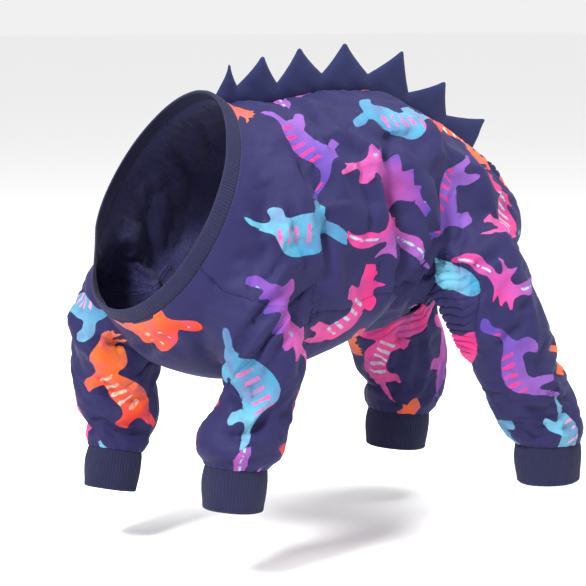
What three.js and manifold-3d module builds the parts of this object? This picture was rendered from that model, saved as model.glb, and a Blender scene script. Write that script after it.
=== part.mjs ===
// Dog jumpsuit: a four-legged printed body suit with rib cuffs, a gathered belly opening
// and a row of stuffed cloth spikes along the centre back seam, in the form it takes when worn.
// Millimetres. +X points to the wearer's head, +Y to its left and +Z up.
// The origin is on the inside of the back, above the shoulders.
import * as THREE from 'three';
import { mergeVertices } from 'three/addons/utils/BufferGeometryUtils.js';
import Module from 'manifold-3d';

const wasm = await Module();
wasm.setup();

// Driving dimensions
const bodyLength = 200;
const bodyDepth = 170;
const chestWidth = 176;
const clothWall = 2;
const seamGap = 0.3;
const legWidth = 60;
const neckTilt = 63.8;
const neckBandWidth = 10;
const neckReach = 58;
const cuffWall = 2.6;
const cuffLength = 27;
const frontCuffWidth = 39.5;
const hindCuffWidth = 44;
const cuffEase = 2.5;
const cuffSwell = 0.6;
const sleeveBoreReach = 3;
const legPower = 2.1;
const bandWidth = 16;
const foldDepth = 5;
const foldSpread = 11;
const spikeHeight = 20;
const spikeTipRadius = 2.2;
const tipRounding = 0.17;
const ridgeBase = 11;
const ridgeThickness = 4.4;
const ridgeEdge = 1.6;
const ridgeSetback = 1.5;

// Fineness of the mesh
const bodyRings = 19;
const bodySegments = 36;
const legRings = 10;
const legSegments = 16;
const cuffSegments = 16;
const openingSegments = 32;
const seamSamples = 160;
const ridgeRootSteps = 20;
const mergeTolerance = 1e-4;
const slopeStep = 0.01;

const halfChest = chestWidth / 2;

// Sections of the body from in front of the neck to the rump. topX and bottomX are shares of the
// body length from the origin, topZ and bottomZ shares of the body depth from the outside of the
// back, half is a share of half the chest width, power squares the section and lean narrows its top.
const bodySections = [
  { topX: 0.31, topZ: 0.17, bottomX: 0.72, bottomZ: -0.62, half: 0.68, power: 2.0, lean: 0.00 },
  { topX: 0.26, topZ: 0.08, bottomX: 0.67, bottomZ: -0.68, half: 0.73, power: 2.0, lean: 0.00 },
  { topX: 0.20, topZ: 0.01, bottomX: 0.61, bottomZ: -0.75, half: 0.78, power: 2.0, lean: 0.00 },
  { topX: 0.11, topZ: 0.00, bottomX: 0.54, bottomZ: -0.84, half: 0.86, power: 2.1, lean: 0.00 },
  { topX: 0.01, topZ: 0.00, bottomX: 0.44, bottomZ: -0.93, half: 0.95, power: 2.2, lean: -0.03 },
  { topX: -0.10, topZ: 0.02, bottomX: 0.29, bottomZ: -1.00, half: 1.00, power: 2.3, lean: -0.05 },
  { topX: -0.21, topZ: 0.04, bottomX: 0.11, bottomZ: -1.01, half: 0.99, power: 2.3, lean: -0.05 },
  { topX: -0.32, topZ: 0.04, bottomX: -0.08, bottomZ: -0.97, half: 0.96, power: 2.3, lean: -0.04 },
  { topX: -0.43, topZ: 0.03, bottomX: -0.25, bottomZ: -0.92, half: 0.92, power: 2.2, lean: -0.03 },
  { topX: -0.55, topZ: -0.03, bottomX: -0.39, bottomZ: -0.90, half: 0.88, power: 2.1, lean: -0.06 },
  { topX: -0.68, topZ: -0.10, bottomX: -0.53, bottomZ: -0.84, half: 0.83, power: 1.95, lean: -0.14 },
  { topX: -0.79, topZ: -0.18, bottomX: -0.67, bottomZ: -0.80, half: 0.78, power: 1.85, lean: -0.20 },
  { topX: -0.86, topZ: -0.25, bottomX: -0.78, bottomZ: -0.75, half: 0.68, power: 1.85, lean: -0.20 },
  { topX: -0.90, topZ: -0.36, bottomX: -0.86, bottomZ: -0.70, half: 0.53, power: 2.0, lean: 0.00 },
  { topX: -0.92, topZ: -0.48, bottomX: -0.91, bottomZ: -0.64, half: 0.28, power: 2.0, lean: 0.00 },
];

// Sections of each leg from inside the body to its cuff seam. along, out and up are shares of the
// body length, half the chest width and the body depth; front and wide are half sizes as shares of
// the leg width. Each leg stands as the wearer's does.
const legs = [
  {
    name: 'hind_left', hind: true, side: 1,
    sections: [
      { along: -0.54, out: 0.48, up: -0.46, front: 0.42, wide: 0.40 },
      { along: -0.58, out: 0.68, up: -0.60, front: 0.64, wide: 0.50 },
      { along: -0.61, out: 0.80, up: -0.72, front: 0.64, wide: 0.50 },
      { along: -0.68, out: 0.91, up: -0.90, front: 0.52, wide: 0.46 },
      { along: -0.75, out: 0.96, up: -1.09, front: 0.47, wide: 0.44 },
      { along: -0.80, out: 0.97, up: -1.20, front: 0.45, wide: 0.43 },
      { along: -0.84, out: 0.98, up: -1.29, front: 0.42, wide: 0.42 },
    ],
    cuff: { along: -0.86, out: 0.98, up: -1.365, leanForward: -2, leanOut: 0, girth: 1 },
  },
  {
    name: 'hind_right', hind: true, side: -1,
    sections: [
      { along: -0.56, out: 0.48, up: -0.46, front: 0.42, wide: 0.40 },
      { along: -0.65, out: 0.66, up: -0.60, front: 0.66, wide: 0.50 },
      { along: -0.72, out: 0.78, up: -0.75, front: 0.66, wide: 0.52 },
      { along: -0.80, out: 0.86, up: -0.93, front: 0.60, wide: 0.52 },
      { along: -0.86, out: 0.89, up: -1.12, front: 0.57, wide: 0.50 },
      { along: -0.88, out: 0.90, up: -1.23, front: 0.50, wide: 0.46 },
      { along: -0.87, out: 0.91, up: -1.31, front: 0.45, wide: 0.44 },
    ],
    cuff: { along: -0.86, out: 0.91, up: -1.375, leanForward: 5, leanOut: 2, girth: 1.03 },
  },
  {
    name: 'front_left', hind: false, side: 1,
    sections: [
      { along: 0.24, out: 0.64, up: -0.60, front: 0.44, wide: 0.42 },
      { along: 0.26, out: 0.75, up: -0.76, front: 0.50, wide: 0.45 },
      { along: 0.26, out: 0.80, up: -0.90, front: 0.47, wide: 0.43 },
      { along: 0.28, out: 0.82, up: -1.05, front: 0.40, wide: 0.38 },
      { along: 0.32, out: 0.82, up: -1.16, front: 0.42, wide: 0.40 },
      { along: 0.355, out: 0.82, up: -1.23, front: 0.455, wide: 0.42 },
    ],
    cuff: { along: 0.37, out: 0.82, up: -1.315, leanForward: 6, leanOut: 0, girth: 1 },
  },
  {
    name: 'front_right', hind: false, side: -1,
    sections: [
      { along: 0.30, out: 0.62, up: -0.60, front: 0.44, wide: 0.42 },
      { along: 0.35, out: 0.76, up: -0.80, front: 0.58, wide: 0.50 },
      { along: 0.37, out: 0.81, up: -0.95, front: 0.55, wide: 0.48 },
      { along: 0.37, out: 0.82, up: -1.10, front: 0.48, wide: 0.43 },
      { along: 0.36, out: 0.82, up: -1.23, front: 0.43, wide: 0.39 },
      { along: 0.37, out: 0.82, up: -1.32, front: 0.36, wide: 0.34 },
    ],
    cuff: { along: 0.385, out: 0.81, up: -1.38, leanForward: 12, leanOut: -3, girth: 0.92 },
  },
];

// A cuff from its seam to its edge: at is a share of the cuff length, swell of the cuff swell
const cuffProfile = [
  { at: 0.00, swell: 0.0 },
  { at: 0.30, swell: 1.0 },
  { at: 0.75, swell: 0.5 },
  { at: 1.00, swell: -1.0 },
];

// The belly opening is cut by a tube that runs from the belly between the hind legs to the tail.
// along and up are shares of body length and depth, half is a share of half the chest width and
// deep, the tube's half height, a share of the body depth.
const openingSections = [
  { along: -0.40, up: -0.86, half: 0.84, deep: 0.19 },
  { along: -0.50, up: -0.84, half: 0.84, deep: 0.17 },
  { along: -0.62, up: -0.83, half: 0.78, deep: 0.16 },
  { along: -0.76, up: -0.80, half: 0.60, deep: 0.15 },
  { along: -0.90, up: -0.68, half: 0.46, deep: 0.14 },
  { along: -0.96, up: -0.52, half: 0.34, deep: 0.12 },
  { along: -0.93, up: -0.33, half: 0.18, deep: 0.10 },
];
const openingPower = 3.0;
const tailSeam = -0.852;
const gatherCount = 16;
const gatherDepth = 1.2;

// Top edge of the belly panel, from the neck edge to the belly opening, in the same shares.
const bellySeam = [
  { along: 0.80, up: -0.44 },
  { along: 0.47, up: -0.58 },
  { along: 0.40, up: -0.67 },
  { along: 0.20, up: -0.75 },
  { along: 0.08, up: -0.77 },
  { along: -0.18, up: -0.70 },
  { along: -0.40, up: -0.67 },
];

// The armhole is a plane whose normal points back, out and down through the top of the seam,
// closed behind and inside the leg by upright planes.
const armhole = { along: 0.12, out: 0.97, up: -0.68, behind: 0.10, inside: 0.44 };
const armholeNormal = new THREE.Vector3(-0.53, 0.50, -0.69).normalize();

// Folds of the cloth as furrows (depth above 0) and rolls (depth below 0). Both ends are given in
// the shares above; wide and deep are shares of the fold spread and the fold depth.
const folds = [
  // Long slack folds from the back to the belly on the left flank
  { from: [-0.53, 0.52, -0.10], to: [-0.42, 0.97, -0.62], wide: 0.9, deep: 0.9 },
  { from: [-0.42, 0.97, -0.62], to: [-0.30, 0.74, -0.90], wide: 1.0, deep: 1.0 },
  { from: [-0.40, 0.45, -0.03], to: [-0.22, 0.95, -0.35], wide: 0.9, deep: 0.6 },
  { from: [-0.22, 0.95, -0.35], to: [-0.12, 0.98, -0.80], wide: 1.0, deep: 0.6 },
  { from: [-0.18, 0.55, -0.05], to: [0.05, 1.00, -0.45], wide: 0.9, deep: 0.5 },
  { from: [-0.45, 0.60, -0.12], to: [-0.33, 0.98, -0.45], wide: 0.9, deep: -0.6 },
  { from: [0.10, 0.98, -0.55], to: [-0.10, 0.95, -0.85], wide: 0.8, deep: -0.5 },
  { from: [0.22, 0.80, -0.10], to: [0.30, 0.90, -0.50], wide: 1.0, deep: 0.5 },
  { from: [-0.62, 0.88, -0.40], to: [-0.50, 0.92, -0.68], wide: 0.9, deep: 0.7 },
  { from: [-0.72, 0.80, -0.35], to: [-0.60, 0.98, -0.62], wide: 0.9, deep: -0.5 },
  // The same slack on the right flank
  { from: [-0.50, -0.55, -0.10], to: [-0.40, -0.97, -0.62], wide: 0.9, deep: 0.9 },
  { from: [-0.40, -0.97, -0.62], to: [-0.28, -0.74, -0.90], wide: 1.0, deep: 0.9 },
  { from: [-0.30, -0.50, -0.03], to: [-0.16, -0.98, -0.60], wide: 0.9, deep: 0.6 },
  { from: [0.18, -0.80, -0.15], to: [0.26, -0.92, -0.55], wide: 1.0, deep: 0.5 },
  { from: [-0.60, -0.88, -0.40], to: [-0.48, -0.92, -0.68], wide: 0.9, deep: 0.6 },
  // Creases that fan out from the left armpit across the sleeve, and the roll over its cuff
  { from: [0.13, 1.05, -0.68], to: [0.37, 0.98, -1.02], wide: 0.7, deep: 1.1 },
  { from: [0.10, 1.02, -0.80], to: [0.34, 1.02, -1.12], wide: 0.6, deep: 0.8 },
  { from: [0.20, 1.12, -0.70], to: [0.42, 0.90, -0.94], wide: 0.6, deep: -0.7 },
  { from: [0.14, 1.05, -1.02], to: [0.40, 1.05, -1.21], wide: 0.6, deep: 0.6 },
  { from: [0.50, 0.72, -1.22], to: [0.42, 1.05, -1.25], wide: 0.8, deep: -0.4 },
  // Swags across the top of the right sleeve
  { from: [0.52, -0.92, -0.72], to: [0.44, -0.45, -0.98], wide: 0.7, deep: 1.0 },
  { from: [0.53, -0.95, -0.95], to: [0.46, -0.55, -1.16], wide: 0.6, deep: 0.9 },
  { from: [0.53, -0.90, -0.84], to: [0.48, -0.50, -1.06], wide: 0.6, deep: -0.6 },
  { from: [0.20, -1.05, -0.76], to: [0.40, -1.12, -1.06], wide: 0.7, deep: 0.8 },
  // Wrinkles behind and below the hock of each hind leg
  { from: [-0.92, 0.95, -0.98], to: [-0.80, 1.20, -1.06], wide: 0.5, deep: 0.7 },
  { from: [-0.94, 0.95, -1.12], to: [-0.80, 1.22, -1.20], wide: 0.5, deep: 0.8 },
  { from: [-0.98, 1.00, -1.24], to: [-0.72, 1.12, -1.16], wide: 0.5, deep: 0.7 },
  { from: [-0.68, 0.76, -1.02], to: [-0.66, 1.10, -0.92], wide: 0.6, deep: 0.5 },
  { from: [-0.98, 1.05, -1.30], to: [-0.76, 0.98, -1.31], wide: 0.5, deep: -0.5 },
  { from: [-0.92, -0.95, -1.00], to: [-0.72, -1.14, -1.08], wide: 0.5, deep: 0.7 },
  { from: [-0.94, -0.95, -1.18], to: [-0.74, -1.12, -1.24], wide: 0.5, deep: 0.7 },
  { from: [-0.70, -0.68, -1.04], to: [-0.68, -0.95, -1.14], wide: 0.5, deep: 0.6 },
];

// Spikes along the back seam from the neck to the tail, as shares of the seam's length, with the
// height of each as a share of the spike height.
const spikes = [
  { from: 0.00, tip: 0.03, to: 0.08, height: 0.75 },
  { from: 0.08, tip: 0.18, to: 0.23, height: 1.00 },
  { from: 0.23, tip: 0.33, to: 0.39, height: 1.00 },
  { from: 0.39, tip: 0.47, to: 0.55, height: 1.05 },
  { from: 0.55, tip: 0.625, to: 0.70, height: 1.20 },
  { from: 0.70, tip: 0.81, to: 0.86, height: 1.00 },
  { from: 0.86, tip: 0.985, to: 1.00, height: 0.90 },
];

const cloth = { color: 0x2b2c63, roughness: 0.85, metalness: 0 };
const ribKnit = { color: 0x26284b, roughness: 0.95, metalness: 0 };
const ridgeCloth = { color: 0x24264f, roughness: 0.85, metalness: 0 };

function place(along, out, up) {
  return new THREE.Vector3(along * bodyLength, out * halfChest, clothWall + up * bodyDepth);
}

const foldLines = folds.map((fold) => ({
  line: new THREE.Line3(place(...fold.from), place(...fold.to)),
  spread: fold.wide * foldSpread,
  depth: fold.deep * foldDepth,
}));

// How far the cloth stands out (above 0) or in (below 0) at a point
function foldRelief(point) {
  const nearest = new THREE.Vector3();
  let relief = 0;
  for (const { line, spread, depth } of foldLines) {
    line.closestPointToPoint(point, true, nearest);
    const reach = nearest.distanceTo(point) / spread;
    relief -= depth * Math.exp(-reach * reach);
  }
  return relief;
}

// Reads a table of sections at share t of its length, on a smooth curve through its rows
function readTable(rows, t) {
  const last = rows.length - 1;
  const index = Math.min(Math.floor(t * last), last - 1);
  const f = t * last - index;
  const row = (i) => rows[Math.min(Math.max(i, 0), last)];
  const result = {};
  for (const key of Object.keys(rows[0])) {
    const [a, b, c, d] = [-1, 0, 1, 2].map((step) => row(index + step)[key]);
    const slope = (c - a) / 2;
    const nextSlope = (d - b) / 2;
    const rise = c - b;
    const bend = 3 * rise - 2 * slope - nextSlope;
    const twist = slope + nextSlope - 2 * rise;
    result[key] = b + f * (slope + f * (bend + f * twist));
  }
  return result;
}

function toSolid(geometry) {
  const bare = geometry.clone();
  bare.deleteAttribute('normal');
  bare.deleteAttribute('uv');
  const merged = mergeVertices(bare, mergeTolerance);
  return new wasm.Manifold(new wasm.Mesh({
    numProp: 3,
    vertProperties: new Float32Array(merged.attributes.position.array),
    triVerts: new Uint32Array(merged.index.array),
  }));
}

function toMesh(name, solid, finish) {
  const { vertProperties, triVerts } = solid.getMesh();
  const geometry = new THREE.BufferGeometry();
  geometry.setAttribute('position', new THREE.BufferAttribute(new Float32Array(vertProperties), 3));
  geometry.setIndex(new THREE.BufferAttribute(new Uint32Array(triVerts), 1));
  geometry.computeVertexNormals();
  const mesh = new THREE.Mesh(geometry, new THREE.MeshStandardMaterial(finish));
  mesh.name = name;
  return mesh;
}

// Closed skin through rings of oval sections. Each ring has a centre, two unit directions, two
// half sizes, the power of its oval and the lean of its width. inset shrinks it by a wall.
function loftSolid(rings, segments, { inset = 0, folded = false, ripple = null } = {}) {
  const points = [];
  for (const ring of rings) {
    for (let j = 0; j < segments; j += 1) {
      const angle = (2 * Math.PI * j) / segments;
      const u = Math.sign(Math.cos(angle)) * Math.abs(Math.cos(angle)) ** (2 / ring.power);
      const v = Math.sign(Math.sin(angle)) * Math.abs(Math.sin(angle)) ** (2 / ring.power);
      const wave = ripple ? ripple(angle) : 0;
      const across = (ring.b - inset + wave) * v * (1 + ring.lean * u);
      const point = ring.centre.clone()
        .addScaledVector(ring.first, (ring.a - inset + wave) * u)
        .addScaledVector(ring.second, across);
      const outward = new THREE.Vector3()
        .addScaledVector(ring.first, u / ring.a)
        .addScaledVector(ring.second, v / ring.b)
        .normalize();
      if (folded) {
        const skin = point.clone().addScaledVector(outward, inset);
        point.addScaledVector(outward, foldRelief(skin));
      }
      points.push(point);
    }
  }
  const startCentre = points.length;
  points.push(rings[0].centre.clone());
  const endCentre = points.length;
  points.push(rings[rings.length - 1].centre.clone());
  const index = [];
  for (let i = 0; i + 1 < rings.length; i += 1) {
    for (let j = 0; j < segments; j += 1) {
      const next = (j + 1) % segments;
      const [p, q] = [i * segments + j, i * segments + next];
      const [r, s] = [p + segments, q + segments];
      index.push(p, r, q, q, r, s);
    }
  }
  const lastRing = (rings.length - 1) * segments;
  for (let j = 0; j < segments; j += 1) {
    const next = (j + 1) % segments;
    index.push(startCentre, j, next);
    index.push(endCentre, lastRing + next, lastRing + j);
  }
  const geometry = new THREE.BufferGeometry().setFromPoints(points);
  geometry.setIndex(index);
  const solid = toSolid(geometry);
  return solid.volume() > 0 ? solid : toSolid(flip(geometry));
}

function flip(geometry) {
  const turned = geometry.clone();
  const index = turned.index.array;
  for (let i = 0; i < index.length; i += 3) {
    [index[i], index[i + 1]] = [index[i + 1], index[i]];
  }
  return turned;
}

const sideways = new THREE.Vector3(0, 1, 0);

function bodyRing(t) {
  const row = readTable(bodySections, t);
  const top = place(row.topX, 0, row.topZ);
  const bottom = place(row.bottomX, 0, row.bottomZ);
  const first = top.clone().sub(bottom);
  const a = first.length() / 2;
  return {
    centre: top.clone().add(bottom).multiplyScalar(0.5),
    first: first.normalize(),
    second: sideways,
    a,
    b: row.half * halfChest,
    power: row.power,
    lean: row.lean,
  };
}

function bodySolid(inset) {
  const rings = [];
  for (let i = 0; i < bodyRings; i += 1) {
    rings.push(bodyRing(i / (bodyRings - 1)));
  }
  return loftSolid(rings, bodySegments, { inset, folded: true });
}

function cuffFrame(leg) {
  const { along, out, up, leanForward, leanOut } = leg.cuff;
  const start = place(along, out * leg.side, up);
  const down = new THREE.Vector3(
    Math.tan(THREE.MathUtils.degToRad(leanForward)),
    Math.tan(THREE.MathUtils.degToRad(leanOut)) * leg.side,
    -1,
  ).normalize();
  const radius = (leg.cuff.girth * (leg.hind ? hindCuffWidth : frontCuffWidth)) / 2;
  return { start, down, radius };
}

// Directions across a tube that runs along a given way: first points forward, second sideways
function crossDirections(way) {
  const first = new THREE.Vector3(1, 0, 0).addScaledVector(way, -way.x).normalize();
  const second = new THREE.Vector3().crossVectors(way, first);
  return { first, second };
}

// Rings of a leg from inside the body to its cuff seam, where the cloth is gathered in
function legRingList(leg, extra) {
  const { start, down, radius } = cuffFrame(leg);
  const rows = leg.sections.map((row) => ({
    x: row.along * bodyLength,
    y: row.out * leg.side * halfChest,
    z: clothWall + row.up * bodyDepth,
    front: row.front * legWidth,
    wide: row.wide * legWidth,
  }));
  const { x, y, z } = start.clone().addScaledVector(down, -cuffEase);
  const gathered = radius + cuffEase;
  rows.push({ x, y, z, front: gathered, wide: gathered });
  const rings = [];
  for (let i = 0; i < legRings; i += 1) {
    const t = i / (legRings - 1);
    const row = readTable(rows, t);
    const before = readTable(rows, Math.max(t - slopeStep, 0));
    const after = readTable(rows, Math.min(t + slopeStep, 1));
    const way = new THREE.Vector3(after.x - before.x, after.y - before.y, after.z - before.z).normalize();
    rings.push({
      centre: new THREE.Vector3(row.x, row.y, row.z),
      ...crossDirections(way),
      a: row.front,
      b: row.wide,
      power: legPower,
      lean: 0,
    });
  }
  const seam = start.clone().addScaledVector(down, extra - seamGap);
  rings.push({ centre: seam, ...crossDirections(down), a: radius, b: radius, power: 2, lean: 0 });
  return rings;
}

function cuffSolid(leg) {
  const { start, down, radius } = cuffFrame(leg);
  const tube = (inset, before, after) => {
    const rings = cuffProfile.map(({ at, swell }, i) => {
      const reach = (i === 0 ? -before : 0) + (i === cuffProfile.length - 1 ? after : 0);
      return {
        centre: start.clone().addScaledVector(down, at * cuffLength + reach),
        ...crossDirections(down),
        a: radius + swell * cuffSwell,
        b: radius + swell * cuffSwell,
        power: 2,
        lean: 0,
      };
    });
    return loftSolid(rings, cuffSegments, { inset });
  };
  const bore = clothWall + cuffWall;
  return tube(0, 0, 0).subtract(tube(cuffWall, bore, bore));
}

// A slab of a side-view outline, reaching far enough to each side to cut the whole suit
function sidePrism(outline, halfSpan) {
  const shape = new THREE.Shape(outline);
  const geometry = new THREE.ExtrudeGeometry(shape, { depth: 2 * halfSpan, bevelEnabled: false });
  geometry.rotateX(Math.PI / 2);
  geometry.translate(0, halfSpan, 0);
  return toSolid(geometry);
}

const cutterSize = 4 * bodyLength;

function cutterBox(minimum, maximum) {
  const size = new THREE.Vector3().subVectors(maximum, minimum);
  const geometry = new THREE.BoxGeometry(size.x, size.y, size.z);
  geometry.translate(minimum.x + size.x / 2, minimum.y + size.y / 2, minimum.z + size.z / 2);
  return toSolid(geometry);
}

// Half space in front of a plane through a point, as a big box
function halfSpace(point, normal) {
  const geometry = new THREE.BoxGeometry(cutterSize, cutterSize, cutterSize);
  geometry.translate(0, 0, cutterSize / 2);
  geometry.applyQuaternion(new THREE.Quaternion().setFromUnitVectors(new THREE.Vector3(0, 0, 1), normal));
  geometry.translate(point.x, point.y, point.z);
  return toSolid(geometry);
}

// Everything in front of the neck plane, moved back into the suit by a depth
function neckCutter(depth) {
  const angle = THREE.MathUtils.degToRad(neckTilt);
  const normal = new THREE.Vector3(Math.sin(angle), 0, Math.cos(angle));
  const point = new THREE.Vector3(neckReach, 0, 0).addScaledVector(normal, -depth);
  return halfSpace(point, normal);
}

// Tube of the belly opening, grown by a margin; its front end stays on the belly panel's edge
function openingCutter(margin, rippled) {
  const rings = openingSections.map((row, i) => {
    const before = openingSections[Math.max(i - 1, 0)];
    const after = openingSections[Math.min(i + 1, openingSections.length - 1)];
    const way = place(after.along, 0, after.up).sub(place(before.along, 0, before.up)).normalize();
    if (i === 0) {
      way.set(-1, 0, 0);
    }
    const centre = place(row.along, 0, row.up);
    if (i === openingSections.length - 1) {
      centre.addScaledVector(way, margin);
    }
    return {
      centre,
      first: new THREE.Vector3(way.z, 0, -way.x),
      second: sideways,
      a: row.deep * bodyDepth + margin,
      b: row.half * halfChest + margin,
      power: openingPower,
      lean: 0,
    };
  });
  const ripple = rippled ? (angle) => gatherDepth * Math.cos(gatherCount * angle) : null;
  return loftSolid(rings, openingSegments, { ripple });
}

function sleeveCutter(side, margin) {
  const normal = armholeNormal.clone();
  normal.y *= side;
  const top = place(armhole.along, armhole.out * side, armhole.up).addScaledVector(normal, -margin);
  const behind = armhole.behind * bodyLength - margin;
  const inside = armhole.inside * halfChest - margin;
  const near = side > 0 ? inside : -cutterSize;
  const far = side > 0 ? cutterSize : -inside;
  const corner = cutterBox(
    new THREE.Vector3(behind, near, -cutterSize),
    new THREE.Vector3(cutterSize, far, 0),
  );
  return corner.intersect(halfSpace(top, normal));
}

// Everything below the belly panel's seam and in front of the belly opening, grown by a margin
function bellyCutter(margin) {
  const outline = bellySeam.map(({ along, up }) => {
    const point = place(along, 0, up);
    return new THREE.Vector2(point.x, point.z + margin);
  });
  const rear = outline[outline.length - 1];
  rear.x -= margin;
  outline.push(new THREE.Vector2(rear.x, -cutterSize));
  outline.push(new THREE.Vector2(outline[0].x, -cutterSize));
  return sidePrism(outline, chestWidth);
}

// Height of the outside of the back along the centre line
function backLine(count) {
  const points = [];
  for (let i = 0; i <= count; i += 1) {
    const ring = bodyRing(i / count);
    points.push(ring.centre.clone().addScaledVector(ring.first, ring.a));
  }
  return points;
}

// Outline of the ridge in the side view: its root lies in the back seam, its spikes stand on top
function ridgeOutline(grow) {
  const neckAngle = THREE.MathUtils.degToRad(neckTilt);
  const neckLimit = (point) => (point.x - neckReach) * Math.sin(neckAngle) + point.z * Math.cos(neckAngle);
  const tailEnd = tailSeam * bodyLength;
  const line = backLine(seamSamples).filter(
    (point) => neckLimit(point) < -neckBandWidth - ridgeSetback && point.x > tailEnd,
  );
  const curve = new THREE.CatmullRomCurve3(line);
  const lift = (t, height) => {
    const way = curve.getTangentAt(t);
    const point = curve.getPointAt(t);
    return new THREE.Vector2(point.x + way.z * height, point.z - way.x * height);
  };
  const outline = [];
  for (const { from, tip, to, height } of spikes) {
    const valley = lift(from, ridgeBase + grow);
    const next = lift(to, ridgeBase + grow);
    const point = lift(tip, ridgeBase + spikeHeight * height + grow);
    const back = valley.clone().sub(point).normalize();
    const onward = next.clone().sub(point).normalize();
    outline.push(valley);
    outline.push(point.clone().addScaledVector(back, spikeTipRadius));
    outline.push(point.clone().addScaledVector(back.clone().add(onward), spikeTipRadius * tipRounding));
    outline.push(point.clone().addScaledVector(onward, spikeTipRadius));
  }
  outline.push(lift(1, ridgeBase / 2 + grow));
  for (let i = ridgeRootSteps; i >= 0; i -= 1) {
    outline.push(lift(i / ridgeRootSteps, -clothWall));
  }
  return outline;
}

function ridgeSolid() {
  const full = sidePrism(ridgeOutline(-ridgeEdge), ridgeThickness / 2);
  const core = sidePrism(ridgeOutline(0), ridgeThickness / 2 - ridgeEdge);
  return full.add(core);
}

// The whole suit as one skin, before it is cut into its panels
function suitShell() {
  let outside = bodySolid(0);
  let inside = bodySolid(clothWall);
  for (const leg of legs) {
    const skinRings = legRingList(leg, 0);
    const boreRings = legRingList(leg, sleeveBoreReach);
    outside = outside.add(loftSolid(skinRings, legSegments, { folded: true }));
    inside = inside.add(loftSolid(boreRings, legSegments, { inset: clothWall, folded: true }));
  }
  return outside.subtract(inside);
}

const suit = new THREE.Group();
suit.name = 'dog_jumpsuit';

const shell = suitShell().subtract(neckCutter(0)).subtract(openingCutter(0, true));
const neckZone = neckCutter(neckBandWidth);
suit.add(toMesh('neck_band', shell.intersect(neckZone), ribKnit));

let body = shell.subtract(neckCutter(neckBandWidth + seamGap));
for (const [name, side] of [['front_sleeve_left', 1], ['front_sleeve_right', -1]]) {
  suit.add(toMesh(name, body.intersect(sleeveCutter(side, 0)), cloth));
}
for (const side of [1, -1]) {
  body = body.subtract(sleeveCutter(side, seamGap));
}
suit.add(toMesh('belly_panel', body.intersect(bellyCutter(0)), cloth));
body = body.subtract(bellyCutter(seamGap));
suit.add(toMesh('belly_opening_band', body.intersect(openingCutter(bandWidth, false)), cloth));
body = body.subtract(openingCutter(bandWidth + seamGap, false));

for (const [name, side] of [['side_panel_left', 1], ['side_panel_right', -1]]) {
  const backSeam = ridgeThickness / 2 + seamGap;
  const half = cutterBox(
    new THREE.Vector3(-cutterSize, side > 0 ? backSeam : -cutterSize, -cutterSize),
    new THREE.Vector3(cutterSize, side > 0 ? cutterSize : -backSeam, cutterSize),
  );
  suit.add(toMesh(name, body.intersect(half), cloth));
}

for (const leg of legs) {
  suit.add(toMesh(`${leg.name}_cuff`, cuffSolid(leg), ribKnit));
}
suit.add(toMesh('spine_ridge', ridgeSolid(), ridgeCloth));

export default suit;
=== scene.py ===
# Dog jumpsuit: a printed four-legged body suit, hollow and held up in the form it takes when
# worn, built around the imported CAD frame. Metres, in the frame of the CAD.
import math

import bpy
import numpy as np
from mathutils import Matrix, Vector
from mathutils.bvhtree import BVHTree
from mathutils.kdtree import KDTree


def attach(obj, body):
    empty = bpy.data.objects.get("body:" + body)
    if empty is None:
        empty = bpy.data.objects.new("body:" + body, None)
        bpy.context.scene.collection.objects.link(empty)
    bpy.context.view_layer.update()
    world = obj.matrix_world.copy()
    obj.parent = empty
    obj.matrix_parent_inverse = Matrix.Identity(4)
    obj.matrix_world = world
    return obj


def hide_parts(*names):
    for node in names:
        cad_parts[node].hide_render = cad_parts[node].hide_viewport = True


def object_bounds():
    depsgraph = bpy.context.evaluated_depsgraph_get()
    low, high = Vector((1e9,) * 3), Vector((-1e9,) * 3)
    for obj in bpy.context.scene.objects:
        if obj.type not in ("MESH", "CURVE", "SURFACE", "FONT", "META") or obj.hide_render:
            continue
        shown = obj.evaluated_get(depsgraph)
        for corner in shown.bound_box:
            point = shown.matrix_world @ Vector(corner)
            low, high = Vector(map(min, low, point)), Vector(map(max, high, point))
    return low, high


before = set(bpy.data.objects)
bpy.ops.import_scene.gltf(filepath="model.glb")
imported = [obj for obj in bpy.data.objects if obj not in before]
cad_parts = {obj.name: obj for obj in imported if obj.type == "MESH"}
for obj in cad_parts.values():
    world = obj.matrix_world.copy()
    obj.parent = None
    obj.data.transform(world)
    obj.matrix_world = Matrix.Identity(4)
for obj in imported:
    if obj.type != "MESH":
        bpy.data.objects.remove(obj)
cad_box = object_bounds()

MM = 0.001
body_length = 200 * MM
body_depth = 170 * MM
half_chest = 88 * MM
cloth_wall = 2 * MM
cloth_thickness = 1.3 * MM
leg_width = 60 * MM
neck_reach = 58 * MM
neck_tilt = math.radians(63.8)
neck_band_width = 10 * MM
cuff_length = 27 * MM
cuff_wall = 2.6 * MM
cuff_ease = 2.5 * MM
cuff_swell = 0.6 * MM
hind_cuff_radius = 22 * MM
front_cuff_radius = 19.75 * MM
band_width = 16 * MM
fold_depth = 5 * MM
fold_spread = 11 * MM
spike_height = 20 * MM
ridge_base = 11 * MM
ridge_thickness = 4.4 * MM
leg_power = 2.1
opening_power = 3.0
tail_seam = -0.852
belly_edge = -0.40 * body_length
random_seed = 11

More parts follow.
